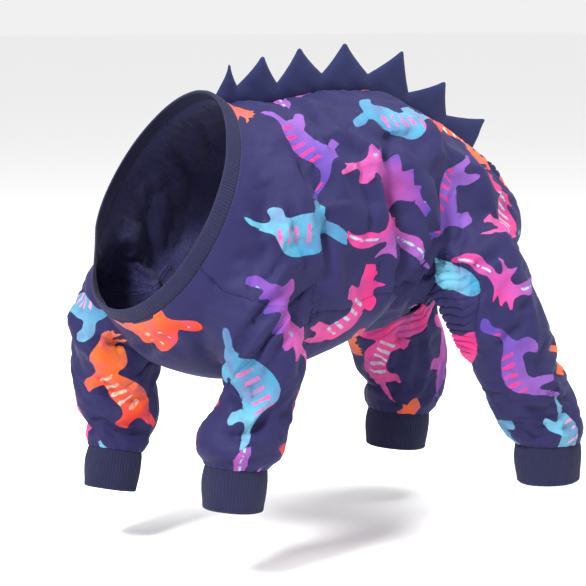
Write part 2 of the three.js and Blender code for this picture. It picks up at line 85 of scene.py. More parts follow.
# Body sections from neck to rump: top along, top up, bottom along, bottom up, half width, power
# of the oval, lean. Shares of the body length, body depth and half chest width.
body_sections = [
    (0.31, 0.17, 0.72, -0.62, 0.68, 2.0, 0.00),
    (0.26, 0.08, 0.67, -0.68, 0.73, 2.0, 0.00),
    (0.20, 0.01, 0.61, -0.75, 0.78, 2.0, 0.00),
    (0.11, 0.00, 0.54, -0.84, 0.86, 2.1, 0.00),
    (0.01, 0.00, 0.44, -0.93, 0.95, 2.2, -0.03),
    (-0.10, 0.02, 0.29, -1.00, 1.00, 2.3, -0.05),
    (-0.21, 0.04, 0.11, -1.01, 0.99, 2.3, -0.05),
    (-0.32, 0.04, -0.08, -0.97, 0.96, 2.3, -0.04),
    (-0.43, 0.03, -0.25, -0.92, 0.92, 2.2, -0.03),
    (-0.55, -0.03, -0.39, -0.90, 0.88, 2.1, -0.06),
    (-0.68, -0.10, -0.53, -0.84, 0.83, 1.95, -0.14),
    (-0.79, -0.18, -0.67, -0.80, 0.78, 1.85, -0.20),
    (-0.86, -0.25, -0.78, -0.75, 0.68, 1.85, -0.20),
    (-0.90, -0.36, -0.86, -0.70, 0.53, 2.0, 0.00),
    (-0.92, -0.48, -0.91, -0.64, 0.28, 2.0, 0.00),
]

# Legs from inside the body to the cuff: along, out, up, half size forward, half size sideways.
# The cuff row: along, out, up, lean forward and lean out in degrees, girth.
legs = {
    "hind_left": {
        "sections": [
            (-0.54, 0.48, -0.46, 0.42, 0.40),
            (-0.58, 0.68, -0.60, 0.64, 0.50),
            (-0.61, 0.80, -0.72, 0.64, 0.50),
            (-0.68, 0.91, -0.90, 0.52, 0.46),
            (-0.75, 0.96, -1.09, 0.47, 0.44),
            (-0.80, 0.97, -1.20, 0.45, 0.43),
            (-0.84, 0.98, -1.29, 0.42, 0.42),
        ],
        "cuff": (-0.86, 0.98, -1.365, -2, 0, 1.0),
    },
    "hind_right": {
        "sections": [
            (-0.56, 0.48, -0.46, 0.42, 0.40),
            (-0.65, 0.66, -0.60, 0.66, 0.50),
            (-0.72, 0.78, -0.75, 0.66, 0.52),
            (-0.80, 0.86, -0.93, 0.60, 0.52),
            (-0.86, 0.89, -1.12, 0.57, 0.50),
            (-0.88, 0.90, -1.23, 0.50, 0.46),
            (-0.87, 0.91, -1.31, 0.45, 0.44),
        ],
        "cuff": (-0.86, 0.91, -1.375, 5, 2, 1.03),
    },
    "front_left": {
        "sections": [
            (0.24, 0.64, -0.60, 0.44, 0.42),
            (0.26, 0.75, -0.76, 0.50, 0.45),
            (0.26, 0.80, -0.90, 0.47, 0.43),
            (0.28, 0.82, -1.05, 0.40, 0.38),
            (0.32, 0.82, -1.16, 0.42, 0.40),
            (0.355, 0.82, -1.23, 0.455, 0.42),
        ],
        "cuff": (0.37, 0.82, -1.315, 6, 0, 1.0),
    },
    "front_right": {
        "sections": [
            (0.30, 0.62, -0.60, 0.44, 0.42),
            (0.35, 0.76, -0.80, 0.58, 0.50),
            (0.37, 0.81, -0.95, 0.55, 0.48),
            (0.37, 0.82, -1.10, 0.48, 0.43),
            (0.36, 0.82, -1.23, 0.43, 0.39),
            (0.37, 0.82, -1.32, 0.36, 0.34),
        ],
        "cuff": (0.385, 0.81, -1.38, 12, -3, 0.92),
    },
}

for leg_name, leg in legs.items():
    leg["side"] = 1 if leg_name.endswith("left") else -1
    leg["radius"] = hind_cuff_radius if leg_name.startswith("hind") else front_cuff_radius

# Tube of the belly opening: along, up, half width, half height
opening_sections = [
    (-0.40, -0.86, 0.84, 0.19),
    (-0.50, -0.84, 0.84, 0.17),
    (-0.62, -0.83, 0.78, 0.16),
    (-0.76, -0.80, 0.60, 0.15),
    (-0.90, -0.68, 0.46, 0.14),
    (-0.96, -0.52, 0.34, 0.12),
    (-0.93, -0.33, 0.18, 0.10),
]

# Top edge of the belly panel: along, up
belly_seam = [
    (0.80, -0.44),
    (0.47, -0.58),
    (0.40, -0.67),
    (0.20, -0.75),
    (0.08, -0.77),
    (-0.18, -0.70),
    (-0.40, -0.67),
]

armhole_point = (0.12, 0.97, -0.68)
armhole_normal = np.array([-0.53, 0.50, -0.69]) / np.linalg.norm([-0.53, 0.50, -0.69])
armhole_behind = 0.10
armhole_inside = 0.44

# Folds: start, end (along, out, up), width and depth as shares of the fold sizes
folds = [
    ((-0.53, 0.52, -0.10), (-0.42, 0.97, -0.62), 0.9, 0.9),
    ((-0.42, 0.97, -0.62), (-0.30, 0.74, -0.90), 1.0, 1.0),
    ((-0.40, 0.45, -0.03), (-0.22, 0.95, -0.35), 0.9, 0.6),
    ((-0.22, 0.95, -0.35), (-0.12, 0.98, -0.80), 1.0, 0.6),
    ((-0.18, 0.55, -0.05), (0.05, 1.00, -0.45), 0.9, 0.5),
    ((-0.45, 0.60, -0.12), (-0.33, 0.98, -0.45), 0.9, -0.6),
    ((0.10, 0.98, -0.55), (-0.10, 0.95, -0.85), 0.8, -0.5),
    ((0.22, 0.80, -0.10), (0.30, 0.90, -0.50), 1.0, 0.5),
    ((-0.62, 0.88, -0.40), (-0.50, 0.92, -0.68), 0.9, 0.7),
    ((-0.72, 0.80, -0.35), (-0.60, 0.98, -0.62), 0.9, -0.5),
    ((-0.50, -0.55, -0.10), (-0.40, -0.97, -0.62), 0.9, 0.9),
    ((-0.40, -0.97, -0.62), (-0.28, -0.74, -0.90), 1.0, 0.9),
    ((-0.30, -0.50, -0.03), (-0.16, -0.98, -0.60), 0.9, 0.6),
    ((0.18, -0.80, -0.15), (0.26, -0.92, -0.55), 1.0, 0.5),
    ((-0.60, -0.88, -0.40), (-0.48, -0.92, -0.68), 0.9, 0.6),
    ((0.13, 1.05, -0.68), (0.37, 0.98, -1.02), 0.7, 1.1),
    ((0.10, 1.02, -0.80), (0.34, 1.02, -1.12), 0.6, 0.8),
    ((0.20, 1.12, -0.70), (0.42, 0.90, -0.94), 0.6, -0.7),
    ((0.14, 1.05, -1.02), (0.40, 1.05, -1.21), 0.6, 0.6),
    ((0.50, 0.72, -1.22), (0.42, 1.05, -1.25), 0.8, -0.4),
    ((0.52, -0.92, -0.72), (0.44, -0.45, -0.98), 0.7, 1.0),
    ((0.53, -0.95, -0.95), (0.46, -0.55, -1.16), 0.6, 0.9),
    ((0.53, -0.90, -0.84), (0.48, -0.50, -1.06), 0.6, -0.6),
    ((0.20, -1.05, -0.76), (0.40, -1.12, -1.06), 0.7, 0.8),
    ((-0.92, 0.95, -0.98), (-0.80, 1.20, -1.06), 0.5, 0.7),
    ((-0.94, 0.95, -1.12), (-0.80, 1.22, -1.20), 0.5, 0.8),
    ((-0.98, 1.00, -1.24), (-0.72, 1.12, -1.16), 0.5, 0.7),
    ((-0.68, 0.76, -1.02), (-0.66, 1.10, -0.92), 0.6, 0.5),
    ((-0.98, 1.05, -1.30), (-0.76, 0.98, -1.31), 0.5, -0.5),
    ((-0.92, -0.95, -1.00), (-0.72, -1.14, -1.08), 0.5, 0.7),
    ((-0.94, -0.95, -1.18), (-0.74, -1.12, -1.24), 0.5, 0.7),
    ((-0.70, -0.68, -1.04), (-0.68, -0.95, -1.14), 0.5, 0.6),
]

# Spikes along the back seam: start, tip, end (shares of the seam) and height
spikes = [
    (0.00, 0.03, 0.08, 0.75),
    (0.08, 0.18, 0.23, 1.00),
    (0.23, 0.33, 0.39, 1.00),
    (0.39, 0.47, 0.55, 1.05),
    (0.55, 0.625, 0.70, 1.20),
    (0.70, 0.81, 0.86, 1.00),
    (0.86, 0.985, 1.00, 0.90),
]


def place(along, out, up):
    return np.array([along * body_length, out * half_chest, cloth_wall + up * body_depth])


def unit(vector):
    return vector / np.linalg.norm(vector)


def read_table(rows, t):
    """Values of a table at shares t of its length, on a smooth curve through its rows."""
    rows = np.asarray(rows, float)
    last = len(rows) - 1
    position = np.clip(np.asarray(t, float), 0, 1) * last
    index = np.minimum(np.floor(position).astype(int), last - 1)
    f = (position - index)[..., None]
    a, b, c, d = (rows[np.clip(index + step, 0, last)] for step in (-1, 0, 1, 2))
    slope = (c - a) / 2
    next_slope = (d - b) / 2
    rise = c - b
    bend = 3 * rise - 2 * slope - next_slope
    twist = slope + next_slope - 2 * rise
    return b + f * (slope + f * (bend + f * twist))


# View of the photograph

photo_size = 586
lens_length = 137.5
sensor_width = 36.0
view_turn = math.radians(55)
view_rise = math.radians(7)
view_distance = 1.5
camera_target = Vector((-0.020, 0.0, -0.126))
camera_back = Vector((
    math.cos(view_turn) * math.cos(view_rise),
    math.sin(view_turn) * math.cos(view_rise),
    math.sin(view_rise),
))
camera_place = camera_target + view_distance * camera_back


def photo_ray(x, y):
    """Direction from the camera through a pixel of the photograph."""
    right = Vector((0, 0, 1)).cross(camera_back).normalized()
    upward = camera_back.cross(right)
    scale = sensor_width / lens_length / photo_size
    half = photo_size / 2
    return (-camera_back + right * (x - half) * scale + upward * (half - y) * scale).normalized()


# Triangle meshes as arrays

def loft(rings, segments):
    """Closed quad skin through rings (centre, first, second, a, b, power, lean)."""
    angle = 2 * np.pi * np.arange(segments) / segments
    points = []
    for centre, first, second, a, b, power, lean in rings:
        u = np.sign(np.cos(angle)) * np.abs(np.cos(angle)) ** (2 / power)
        v = np.sign(np.sin(angle)) * np.abs(np.sin(angle)) ** (2 / power)
        across = b * v * (1 + lean * u)
        points.append(centre + np.outer(a * u, first) + np.outer(across, second))
    points = np.vstack(points + [rings[0][0][None], rings[-1][0][None]])
    faces = []
    for i in range(len(rings) - 1):
        for j in range(segments):
            k = (j + 1) % segments
            low = i * segments
            high = low + segments
            faces.append((low + j, high + j, high + k, low + k))
    start = len(rings) * segments
    tail = (len(rings) - 1) * segments
    for j in range(segments):
        k = (j + 1) % segments
        faces.append((start, j, k))
        faces.append((start + 1, tail + k, tail + j))
    return points, faces


def edge_table(triangles):
    pairs = np.sort(np.stack([triangles, np.roll(triangles, -1, axis=1)], axis=2), axis=2)
    edges, index = np.unique(pairs.reshape(-1, 2), axis=0, return_inverse=True)
    return edges, index.reshape(-1, 3)


def vertex_normals(points, triangles):
    points = points[:, :3]
    corners = points[triangles]
    face = np.cross(corners[:, 1] - corners[:, 0], corners[:, 2] - corners[:, 0])
    total = np.zeros((len(points), 3))
    for axis in range(3):
        total[:, axis] = np.bincount(
            triangles.ravel(), np.repeat(face[:, axis], 3), minlength=len(points)
        )
    return total / np.maximum(np.linalg.norm(total, axis=1, keepdims=True), 1e-20)


def neighbour_mean(values, edges, count):
    """Mean of the neighbours' values at each of count points."""
    ends = np.concatenate([edges[:, 0], edges[:, 1]])
    others = np.concatenate([edges[:, 1], edges[:, 0]])
    number = np.maximum(np.bincount(ends, minlength=count), 1)
    columns = [np.bincount(ends, values[others, k], minlength=count) for k in range(values.shape[1])]
    return np.stack(columns, axis=1) / number[:, None]


def smooth(points, triangles, steps, weight=1.0, forward=0.5, backward=-0.53):
    """Smooths without shrinking; weight is one number or one per point."""
    edges, _ = edge_table(triangles)
    weight = np.broadcast_to(np.asarray(weight, float), (len(points),))[:, None]
    points = points.copy()
    for _ in range(steps):
        for factor in (forward, backward):
            if factor:
                points += weight * factor * (neighbour_mean(points, edges, len(points)) - points)
    return points


def divide(points, triangles, mark, share):
    """Splits each marked edge of edge_table at its share of the way along."""
    edges, index = edge_table(triangles)
    chosen = np.flatnonzero(mark)
    number = np.full(len(edges), -1)
    number[chosen] = len(points) + np.arange(len(chosen))
    first, second = edges[chosen, 0], edges[chosen, 1]
    share = share[chosen, None]
    points = np.vstack([points, points[first] * (1 - share) + points[second] * share])
    middle = number[index]
    count = (middle >= 0).sum(axis=1)
    result = [triangles[count == 0]]
    for turn in range(3):
        t = np.roll(triangles, -turn, axis=1)
        m = np.roll(middle, -turn, axis=1)
        one = (count == 1) & (m[:, 0] >= 0)
        a, b, c, p = t[one, 0], t[one, 1], t[one, 2], m[one, 0]
        result += [np.stack([a, p, c], 1), np.stack([p, b, c], 1)]
        two = (count == 2) & (m[:, 2] < 0)
        a, b, c = t[two].T
        p, q = m[two, 0], m[two, 1]
        result += [np.stack([p, b, q], 1), np.stack([a, p, q], 1), np.stack([a, q, c], 1)]
    full = count == 3
    a, b, c = triangles[full].T
    p, q, r = middle[full].T
    result += [np.stack(item, 1) for item in ((a, p, r), (p, b, q), (r, q, c), (p, q, r))]
    return points, np.vstack(result)


def refine(points, triangles, near, longest):
    """Halves edges longer than longest where the point test near holds, until none is left."""
    for _ in range(4):
        close = near(points)
        edges, _ = edge_table(triangles)
        length = np.linalg.norm(points[edges[:, 0], :3] - points[edges[:, 1], :3], axis=1)
        mark = (close[edges[:, 0]] | close[edges[:, 1]]) & (length > longest)
        if not mark.any():
            break
        points, triangles = divide(points, triangles, mark, np.full(len(edges), 0.5))
    return points, triangles


snap_reach = 0.35 * MM
probe = 0.1 * MM


def cut_line(points, triangles, field):
    """Puts an edge line into the mesh along field = 0, without cutting anything away."""
    value = field(points)
    near = np.abs(value) < snap_reach
    if near.any():
        normals = vertex_normals(points, triangles)[near]
        spot = points[near, :3]
        slope = np.stack([
            (field(spot + probe * axis) - field(spot - probe * axis)) / (2 * probe)
            for axis in np.eye(3)
        ], axis=1)
        slope -= (slope * normals).sum(axis=1, keepdims=True) * normals
        size = np.maximum((slope ** 2).sum(axis=1, keepdims=True), 0.04)
        points = points.copy()
        points[near, :3] = spot - value[near, None] * slope / size
        value[near] = 0
    edges, _ = edge_table(triangles)
    first, second = value[edges[:, 0]], value[edges[:, 1]]
    mark = first * second < 0
    gap = np.where(mark, first - second, 1)
    return divide(points, triangles, mark, np.where(mark, first / gap, 0.5))


def side_of(points, triangles, field):
    """True for triangles on the positive side of a field whose zero line is in the mesh."""
    value = field(points)[triangles]
    strongest = np.take_along_axis(value, np.abs(value).argmax(axis=1)[:, None], axis=1)[:, 0]
    return strongest > 0


def compact(points, triangles):
    used, index = np.unique(triangles, return_inverse=True)
    return points[used], index.reshape(-1, 3)


def border_edges(triangles):
    """Edges that one triangle alone uses, in that triangle's direction."""
    directed = np.stack([triangles, np.roll(triangles, -1, axis=1)], axis=2).reshape(-1, 2)
    _, index, number = np.unique(np.sort(directed, axis=1), axis=0, return_index=True, return_counts=True)
    return directed[index[number == 1]]


# The suit as one closed skin

def body_rings(count):
    rings = []
    for row in read_table(body_sections, np.linspace(0, 1, count)):
        top = place(row[0], 0, row[1])
        bottom = place(row[2], 0, row[3])
        first = top - bottom
        a = np.linalg.norm(first) / 2
        sideways = np.array([0.0, 1.0, 0.0])
        rings.append(((top + bottom) / 2, unit(first), sideways, a, row[4] * half_chest, row[5], row[6]))
    return rings


def cuff_frame(leg):
    along, out, up, lean_forward, lean_out, girth = leg["cuff"]
    start = place(along, out * leg["side"], up)
    down = unit(np.array([
        math.tan(math.radians(lean_forward)),
        math.tan(math.radians(lean_out)) * leg["side"],
        -1,
    ]))
    return start, down, girth * leg["radius"]


def cross_directions(way):
    first = unit(np.array([1.0, 0, 0]) - way[0] * way)
    return first, np.cross(way, first)


def leg_rings(leg, count, overrun):
    start, down, radius = cuff_frame(leg)
    rows = []
    for along, out, up, front, wide in leg["sections"]:
        rows.append((*place(along, out * leg["side"], up), front * leg_width, wide * leg_width))
    gathered = start - down * cuff_ease
    rows.append((*gathered, radius + cuff_ease, radius + cuff_ease))
    rings = []
    for t in np.linspace(0, 1, count):
        x, y, z, front, wide = read_table(rows, t)
        way = unit((read_table(rows, t + 0.01) - read_table(rows, t - 0.01))[:3])
        rings.append((np.array([x, y, z]), *cross_directions(way), front, wide, leg_power, 0))
    for reach in (0, overrun):
        rings.append((start + down * reach, *cross_directions(down), radius, radius, 2, 0))
    return rings


def fold_relief(points):
    """How far the folds of the table move each point: inwards, or outwards where depth < 0."""
    relief = np.zeros(len(points))
    for begin, end, wide, deep in folds:
        a, b = place(*begin), place(*end)
        share = np.clip(((points - a) @ (b - a)) / ((b - a) @ (b - a)), 0, 1)
        distance = np.linalg.norm(points - a - share[:, None] * (b - a), axis=1)
        relief -= deep * fold_depth * np.exp(-(distance / (wide * fold_spread)) ** 2)
    return relief


def object_from(name, points, faces):
    mesh = bpy.data.meshes.new(name)
    mesh.from_pydata([tuple(p) for p in points], [], [tuple(map(int, f)) for f in faces])
    mesh.validate()
    result = bpy.data.objects.new(name, mesh)
    bpy.context.scene.collection.objects.link(result)
    return result


def mesh_arrays(mesh):
    """Points and triangles of a Blender mesh."""
    mesh.calc_loop_triangles()
    points = np.empty(len(mesh.vertices) * 3)
    mesh.vertices.foreach_get("co", points)
    triangles = np.empty(len(mesh.loop_triangles) * 3, int)
    mesh.loop_triangles.foreach_get("vertices", triangles)
    return points.reshape(-1, 3), triangles.reshape(-1, 3)


def tree_of(points, triangles):
    return BVHTree.FromPolygons([tuple(p) for p in points], [tuple(map(int, t)) for t in triangles])


voxel = 4.2 * MM
join_reach = 11 * MM
leg_overrun = 9 * MM


def suit_skin():
    """One closed skin of body and legs, with soft joins between them."""
    shapes = [loft(body_rings(90), 96)]
    shapes += [loft(leg_rings(leg, 40, leg_overrun), 48) for leg in legs.values()]
    points = []
    faces = []
    for part_points, part_faces in shapes:
        base = sum(len(p) for p in points)
        points.append(part_points)
        faces += [tuple(i + base for i in face) for face in part_faces]
    joined = object_from("suit_blank", np.vstack(points), faces)
    remesh = joined.modifiers.new("voxels", "REMESH")
    remesh.mode = "VOXEL"
    remesh.voxel_size = voxel
    evaluated = joined.evaluated_get(bpy.context.evaluated_depsgraph_get())
    skin, triangles = mesh_arrays(evaluated.to_mesh())
    evaluated.to_mesh_clear()
    trees = [tree_of(p, [t for f in q for t in ((f[0], f[1], f[2]), (f[0], f[2], f[-1]))])
             for p, q in shapes]
    bpy.data.meshes.remove(joined.data)
    distance = np.array([[tree.find_nearest(Vector(p))[3] for tree in trees] for p in skin])
    second = np.sort(distance, axis=1)[:, 1]
    join = np.exp(-(second / join_reach) ** 2)
    skin = smooth(skin, triangles, 5)
    skin = smooth(skin, triangles, 14, weight=join, backward=0)
    return skin, triangles


# Slack of the cloth, found by letting a larger cloth settle over the wearer's form

sim_frames = 22
slack_share = 0.045
slack_cap = 7 * MM
form_inset = 5 * MM
held_near_neck = 16 * MM
held_fade = 12 * MM
held_near_cuff = 5 * MM
held_beside_seam = 7 * MM
held_near_opening = 8 * MM
cloth_settings = {
    "quality": 6,
    "mass": 0.12,
    "tension_stiffness": 12,
    "compression_stiffness": 9,
    "shear_stiffness": 5,
    "bending_stiffness": 0.5,
    "air_damping": 3,
    "shrink_min": -slack_share,
    "shrink_max": -slack_share,
    "pin_stiffness": 1.2,
}


def pin_weights(points):
    """How firmly each point is held: fully at the cuffs, the neck edge and the back seam, less
    at the edge of the belly opening."""
    hold = np.exp(-(np.minimum(neck_field(points) + held_near_neck, 0) / held_fade) ** 2)
    for leg in legs.values():
        start, down, radius = cuff_frame(leg)
        offset = points - start
        near = np.linalg.norm(offset, axis=1) < leg_end_reach * radius
        hold = np.maximum(hold, np.where(near & (offset @ down > -held_near_cuff), 1.0, 0.0))
    ridge = np.exp(-(points[:, 1] / held_beside_seam) ** 2) * (points[:, 2] > place(0, 0, -0.45)[2])
    hold = np.maximum(hold, np.where(points[:, 0] < place(0.2, 0, 0)[0], ridge, 0))
    edge = np.exp(-(opening_field(points) / held_near_opening) ** 2) * 0.8
    return np.clip(np.maximum(hold, edge), 0, 1)


def slacken(points, triangles):
    """Shift of each point once a slightly too large cloth has settled."""
    scene = bpy.context.scene
    normals = vertex_normals(points, triangles)
    cloth_object = object_from("slack_cloth", points, triangles)
    group = cloth_object.vertex_groups.new(name="held")
    for number, weight in enumerate(pin_weights(points)):
        group.add([number], float(weight), "REPLACE")
    form = object_from("slack_form", points - normals * form_inset, triangles)
    form.modifiers.new("collision", "COLLISION")
    form.collision.thickness_outer = 1.5 * MM
    form.collision.cloth_friction = 8
    modifier = cloth_object.modifiers.new("cloth", "CLOTH")
    for setting, value in cloth_settings.items():
        setattr(modifier.settings, setting, value)
    modifier.settings.vertex_group_mass = "held"
    modifier.settings.effector_weights.gravity = 0.25
    modifier.collision_settings.distance_min = 1.5 * MM
    modifier.collision_settings.collision_quality = 2
    modifier.point_cache.frame_start = 1
    modifier.point_cache.frame_end = sim_frames
    for number in range(1, sim_frames + 1):
        scene.frame_set(number)
    evaluated = cloth_object.evaluated_get(bpy.context.evaluated_depsgraph_get())
    settled = np.empty(len(points) * 3)
    evaluated.data.vertices.foreach_get("co", settled)
    shift = settled.reshape(-1, 3) - points
    scene.frame_set(1)
    for item in (cloth_object, form):
        bpy.data.meshes.remove(item.data)
    length = np.maximum(np.linalg.norm(shift, axis=1, keepdims=True), 1e-9)
    return shift * np.minimum(length, slack_cap) / length


# Fields: each takes points and gives a distance that is 0 on a seam or an edge

neck_point = np.array([neck_reach, 0.0, 0.0])
neck_normal = np.array([math.sin(neck_tilt), 0.0, math.cos(neck_tilt)])


def neck_field(points):
    return (points[:, :3] - neck_point) @ neck_normal


def neck_seam_field(points):
    return neck_field(points) + neck_band_width


def opening_tube():
    """Centres, directions and half sizes along the tube of the belly opening."""
    rows = np.array(opening_sections)
    centres = np.array([place(along, 0, up) for along, up, _, _ in opening_sections])
    ways = []
    for i in range(len(rows)):
        before = centres[max(i - 1, 0)]
        after = centres[min(i + 1, len(rows) - 1)]
        ways.append(unit(after - before))
    ways[0] = np.array([-1.0, 0.0, 0.0])
    samples = np.linspace(0, len(rows) - 1, 360)
    pick = lambda column: np.interp(samples, np.arange(len(rows)), column)
    centre = np.stack([pick(centres[:, k]) for k in range(3)], axis=1)
    way = np.stack([pick(np.array(ways)[:, k]) for k in range(3)], axis=1)
    way /= np.linalg.norm(way, axis=1, keepdims=True)
    first = np.stack([way[:, 2], np.zeros(len(way)), -way[:, 0]], axis=1)
    return centre, way, first, pick(rows[:, 3]) * body_depth, pick(rows[:, 2]) * half_chest


tube_centre, tube_way, tube_first, tube_deep, tube_half = opening_tube()
far_off = 0.2
leg_end_reach = 2.4
leg_end_girth = 2.2


def tube_place(points):
    """Distance from the tube's skin, angle round it and share of its length, for each point."""
    margin = np.full(len(points), far_off)
    angle = np.zeros(len(points))
    share = np.zeros(len(points))
    close = np.flatnonzero((points[:, 0] < belly_edge + 0.03) & (points[:, 2] < 0.01))
    for chunk in np.array_split(close, max(len(close) // 4000, 1)):
        if not len(chunk):
            continue
        offset = points[chunk, None, :3] - tube_centre[None]
        along = (offset * tube_way).sum(axis=2)
        cost = np.abs(along) + 0.12 * np.linalg.norm(offset, axis=2)
        best = cost.argmin(axis=1)
        rows = np.arange(len(chunk))
        spot = offset[rows, best]
        u = (spot * tube_first[best]).sum(axis=1)
        v = spot[:, 1]
        a, b = tube_deep[best], tube_half[best]
        low = -0.97 * np.minimum(a, b)
        high = np.full(len(chunk), far_off)
        for _ in range(22):
            mid = (low + high) / 2
            inside = np.abs(u / (a + mid)) ** opening_power + np.abs(v / (b + mid)) ** opening_power < 1
            low = np.where(inside, low, mid)
            high = np.where(inside, mid, high)
        beyond = np.where(best == len(tube_way) - 1, along[rows, best], -far_off)
        margin[chunk] = np.maximum((low + high) / 2, beyond)
        angle[chunk] = np.arctan2(v, u)
        share[chunk] = best / (len(tube_way) - 1)
    return margin, angle, share


def opening_field(points):
    return np.maximum(tube_place(points)[0], points[:, 0] - belly_edge)


strip_extra = 11 * MM
strip_widest = -112 * MM
strip_spread = 30 * MM


def strip_width(points):
    """Width of the gathered strip, widest beside the corner of the opening."""
    return band_width + strip_extra * np.exp(-((points[:, 2] - strip_widest) / strip_spread) ** 2)


def band_field(points):
    """Above 0 inside the gathered strip round the opening."""
    return np.minimum(strip_width(points) - tube_place(points)[0], belly_edge - points[:, 0])


def sleeve_field(side):
    top = place(armhole_point[0], armhole_point[1] * side, armhole_point[2])
    normal = armhole_normal * np.array([1, side, 1])

    def field(points):
        slope = (points[:, :3] - top) @ normal
        behind = points[:, 0] - armhole_behind * body_length
        outside = side * points[:, 1] - armhole_inside * half_chest
        return np.minimum(np.minimum(slope, behind), outside)

    return field


def belly_field(points):
    """Above 0 on the belly panel."""
    line = np.array([place(along, 0, up) for along, up in belly_seam])[::-1]
    height = np.interp(points[:, 0], line[:, 0], line[:, 2])
    return np.minimum(height - points[:, 2], points[:, 0] - belly_edge)


def centre_field(points):
    return points[:, 1]


def leg_end_field(leg):
    """Above 0 past the end of a leg, where its cuff is sewn on."""
    start, down, radius = cuff_frame(leg)

    def field(points):
        offset = points[:, :3] - start
        distance = offset @ down + 0.3 * MM
        near = np.linalg.norm(offset, axis=1) < leg_end_reach * radius
        return np.where(near, distance, -far_off)

    return field


# Print: centres and directions of the motifs on the cloth

motif_tries = 9000
motif_repeat = 90 * MM
motif_core = 19 * MM
motif_space = 33.5 * MM
motif_size = 38 * MM
motif_reach = 1.3
motif_slimness = 0.78
motif_sway = 0.10


def scatter_motifs(points, triangles):
    """Places motifs over the cloth so that no two come too close, then draws the kind, the
    handedness, the size and the bend of each."""
    rng = np.random.default_rng(random_seed)
    corners = points[triangles]
    area = np.linalg.norm(np.cross(corners[:, 1] - corners[:, 0], corners[:, 2] - corners[:, 0]), axis=1)
    normals = vertex_normals(points, triangles)
    chosen = rng.choice(len(triangles), motif_tries, p=area / area.sum())
    kept = []
    for number in chosen:
        centre = corners[number].mean(axis=0)
        normal = unit(normals[triangles[number]].mean(axis=0))
        on_leg = centre[2] < place(0, 0, -0.95)[2]
        turn = rng.normal(0, 0.35) if on_leg else rng.uniform(-np.pi, np.pi)
        upright = np.array([0.0, 0.0, 1.0]) if abs(normal[2]) < 0.8 else np.array([1.0, 0.0, 0.0])
        first = unit(upright - (upright @ normal) * normal)
        second = np.cross(normal, first)
        axis = math.cos(turn) * first + math.sin(turn) * second
        if on_leg and rng.random() < 0.5:
            axis = -axis
        mine = centre + np.outer(np.linspace(-1, 1, 5) * motif_core, axis)
        clear = all(
            np.linalg.norm(other["centre"] - centre) > 3 * motif_space
            or np.linalg.norm(mine[:, None] - other["core"][None], axis=2).min() >= motif_space
            or other["normal"] @ normal <= -0.3
            for other in kept
        )
        if clear:
            kept.append({"centre": centre, "axis": axis, "normal": normal, "core": mine})
    for i, motif in enumerate(kept):
        taken = {
            other["kind"] for other in kept[:i]
            if np.linalg.norm(other["centre"] - motif["centre"]) < motif_repeat
        }
        free = [kind for kind in range(len(motif_kinds)) if kind not in taken]
        motif["kind"] = int(rng.choice(free or range(len(motif_kinds))))
        motif["mirror"] = 1 if rng.random() < 0.5 else -1
        motif["size"] = motif_size * rng.uniform(0.96, 1.10)
        motif["bend"] = rng.uniform(-0.24, 0.24)
    return kept


def motif_of(points, normals, motifs):
    """Number of the motif whose cell each point lies in."""
    best = np.full(len(points), np.inf)
    number = np.zeros(len(points), int)
    for i, motif in enumerate(motifs):
        offset = points - motif["centre"]
        along = np.clip(offset @ motif["axis"], -motif_core, motif_core)
        distance = np.linalg.norm(offset - along[:, None] * motif["axis"], axis=1)
        distance = distance * (1 + 1.2 * (1 - np.clip(normals @ motif["normal"], -1, 1)))
        closer = distance < best
        best[closer] = distance[closer]
        number[closer] = i
    return number


def motif_coordinates(points, motif):
    """Flat coordinates round a motif's centre, in units of its size."""
    offset = points - motif["centre"]
    across = np.cross(motif["normal"], motif["axis"])
    flat = np.stack([offset @ motif["axis"], offset @ across], axis=1)
    length = np.maximum(np.linalg.norm(flat, axis=1), 1e-9)
    real = np.linalg.norm(offset, axis=1)
    flat = flat * (real / length)[:, None] * [1, motif["mirror"]] / motif["size"]
    curve = motif["bend"] * (1 - 2.2 * flat[:, 0] ** 2) + motif_sway * np.sin(3.4 * flat[:, 0])
    flat[:, 1] = (flat[:, 1] - curve) / motif_slimness
    return flat


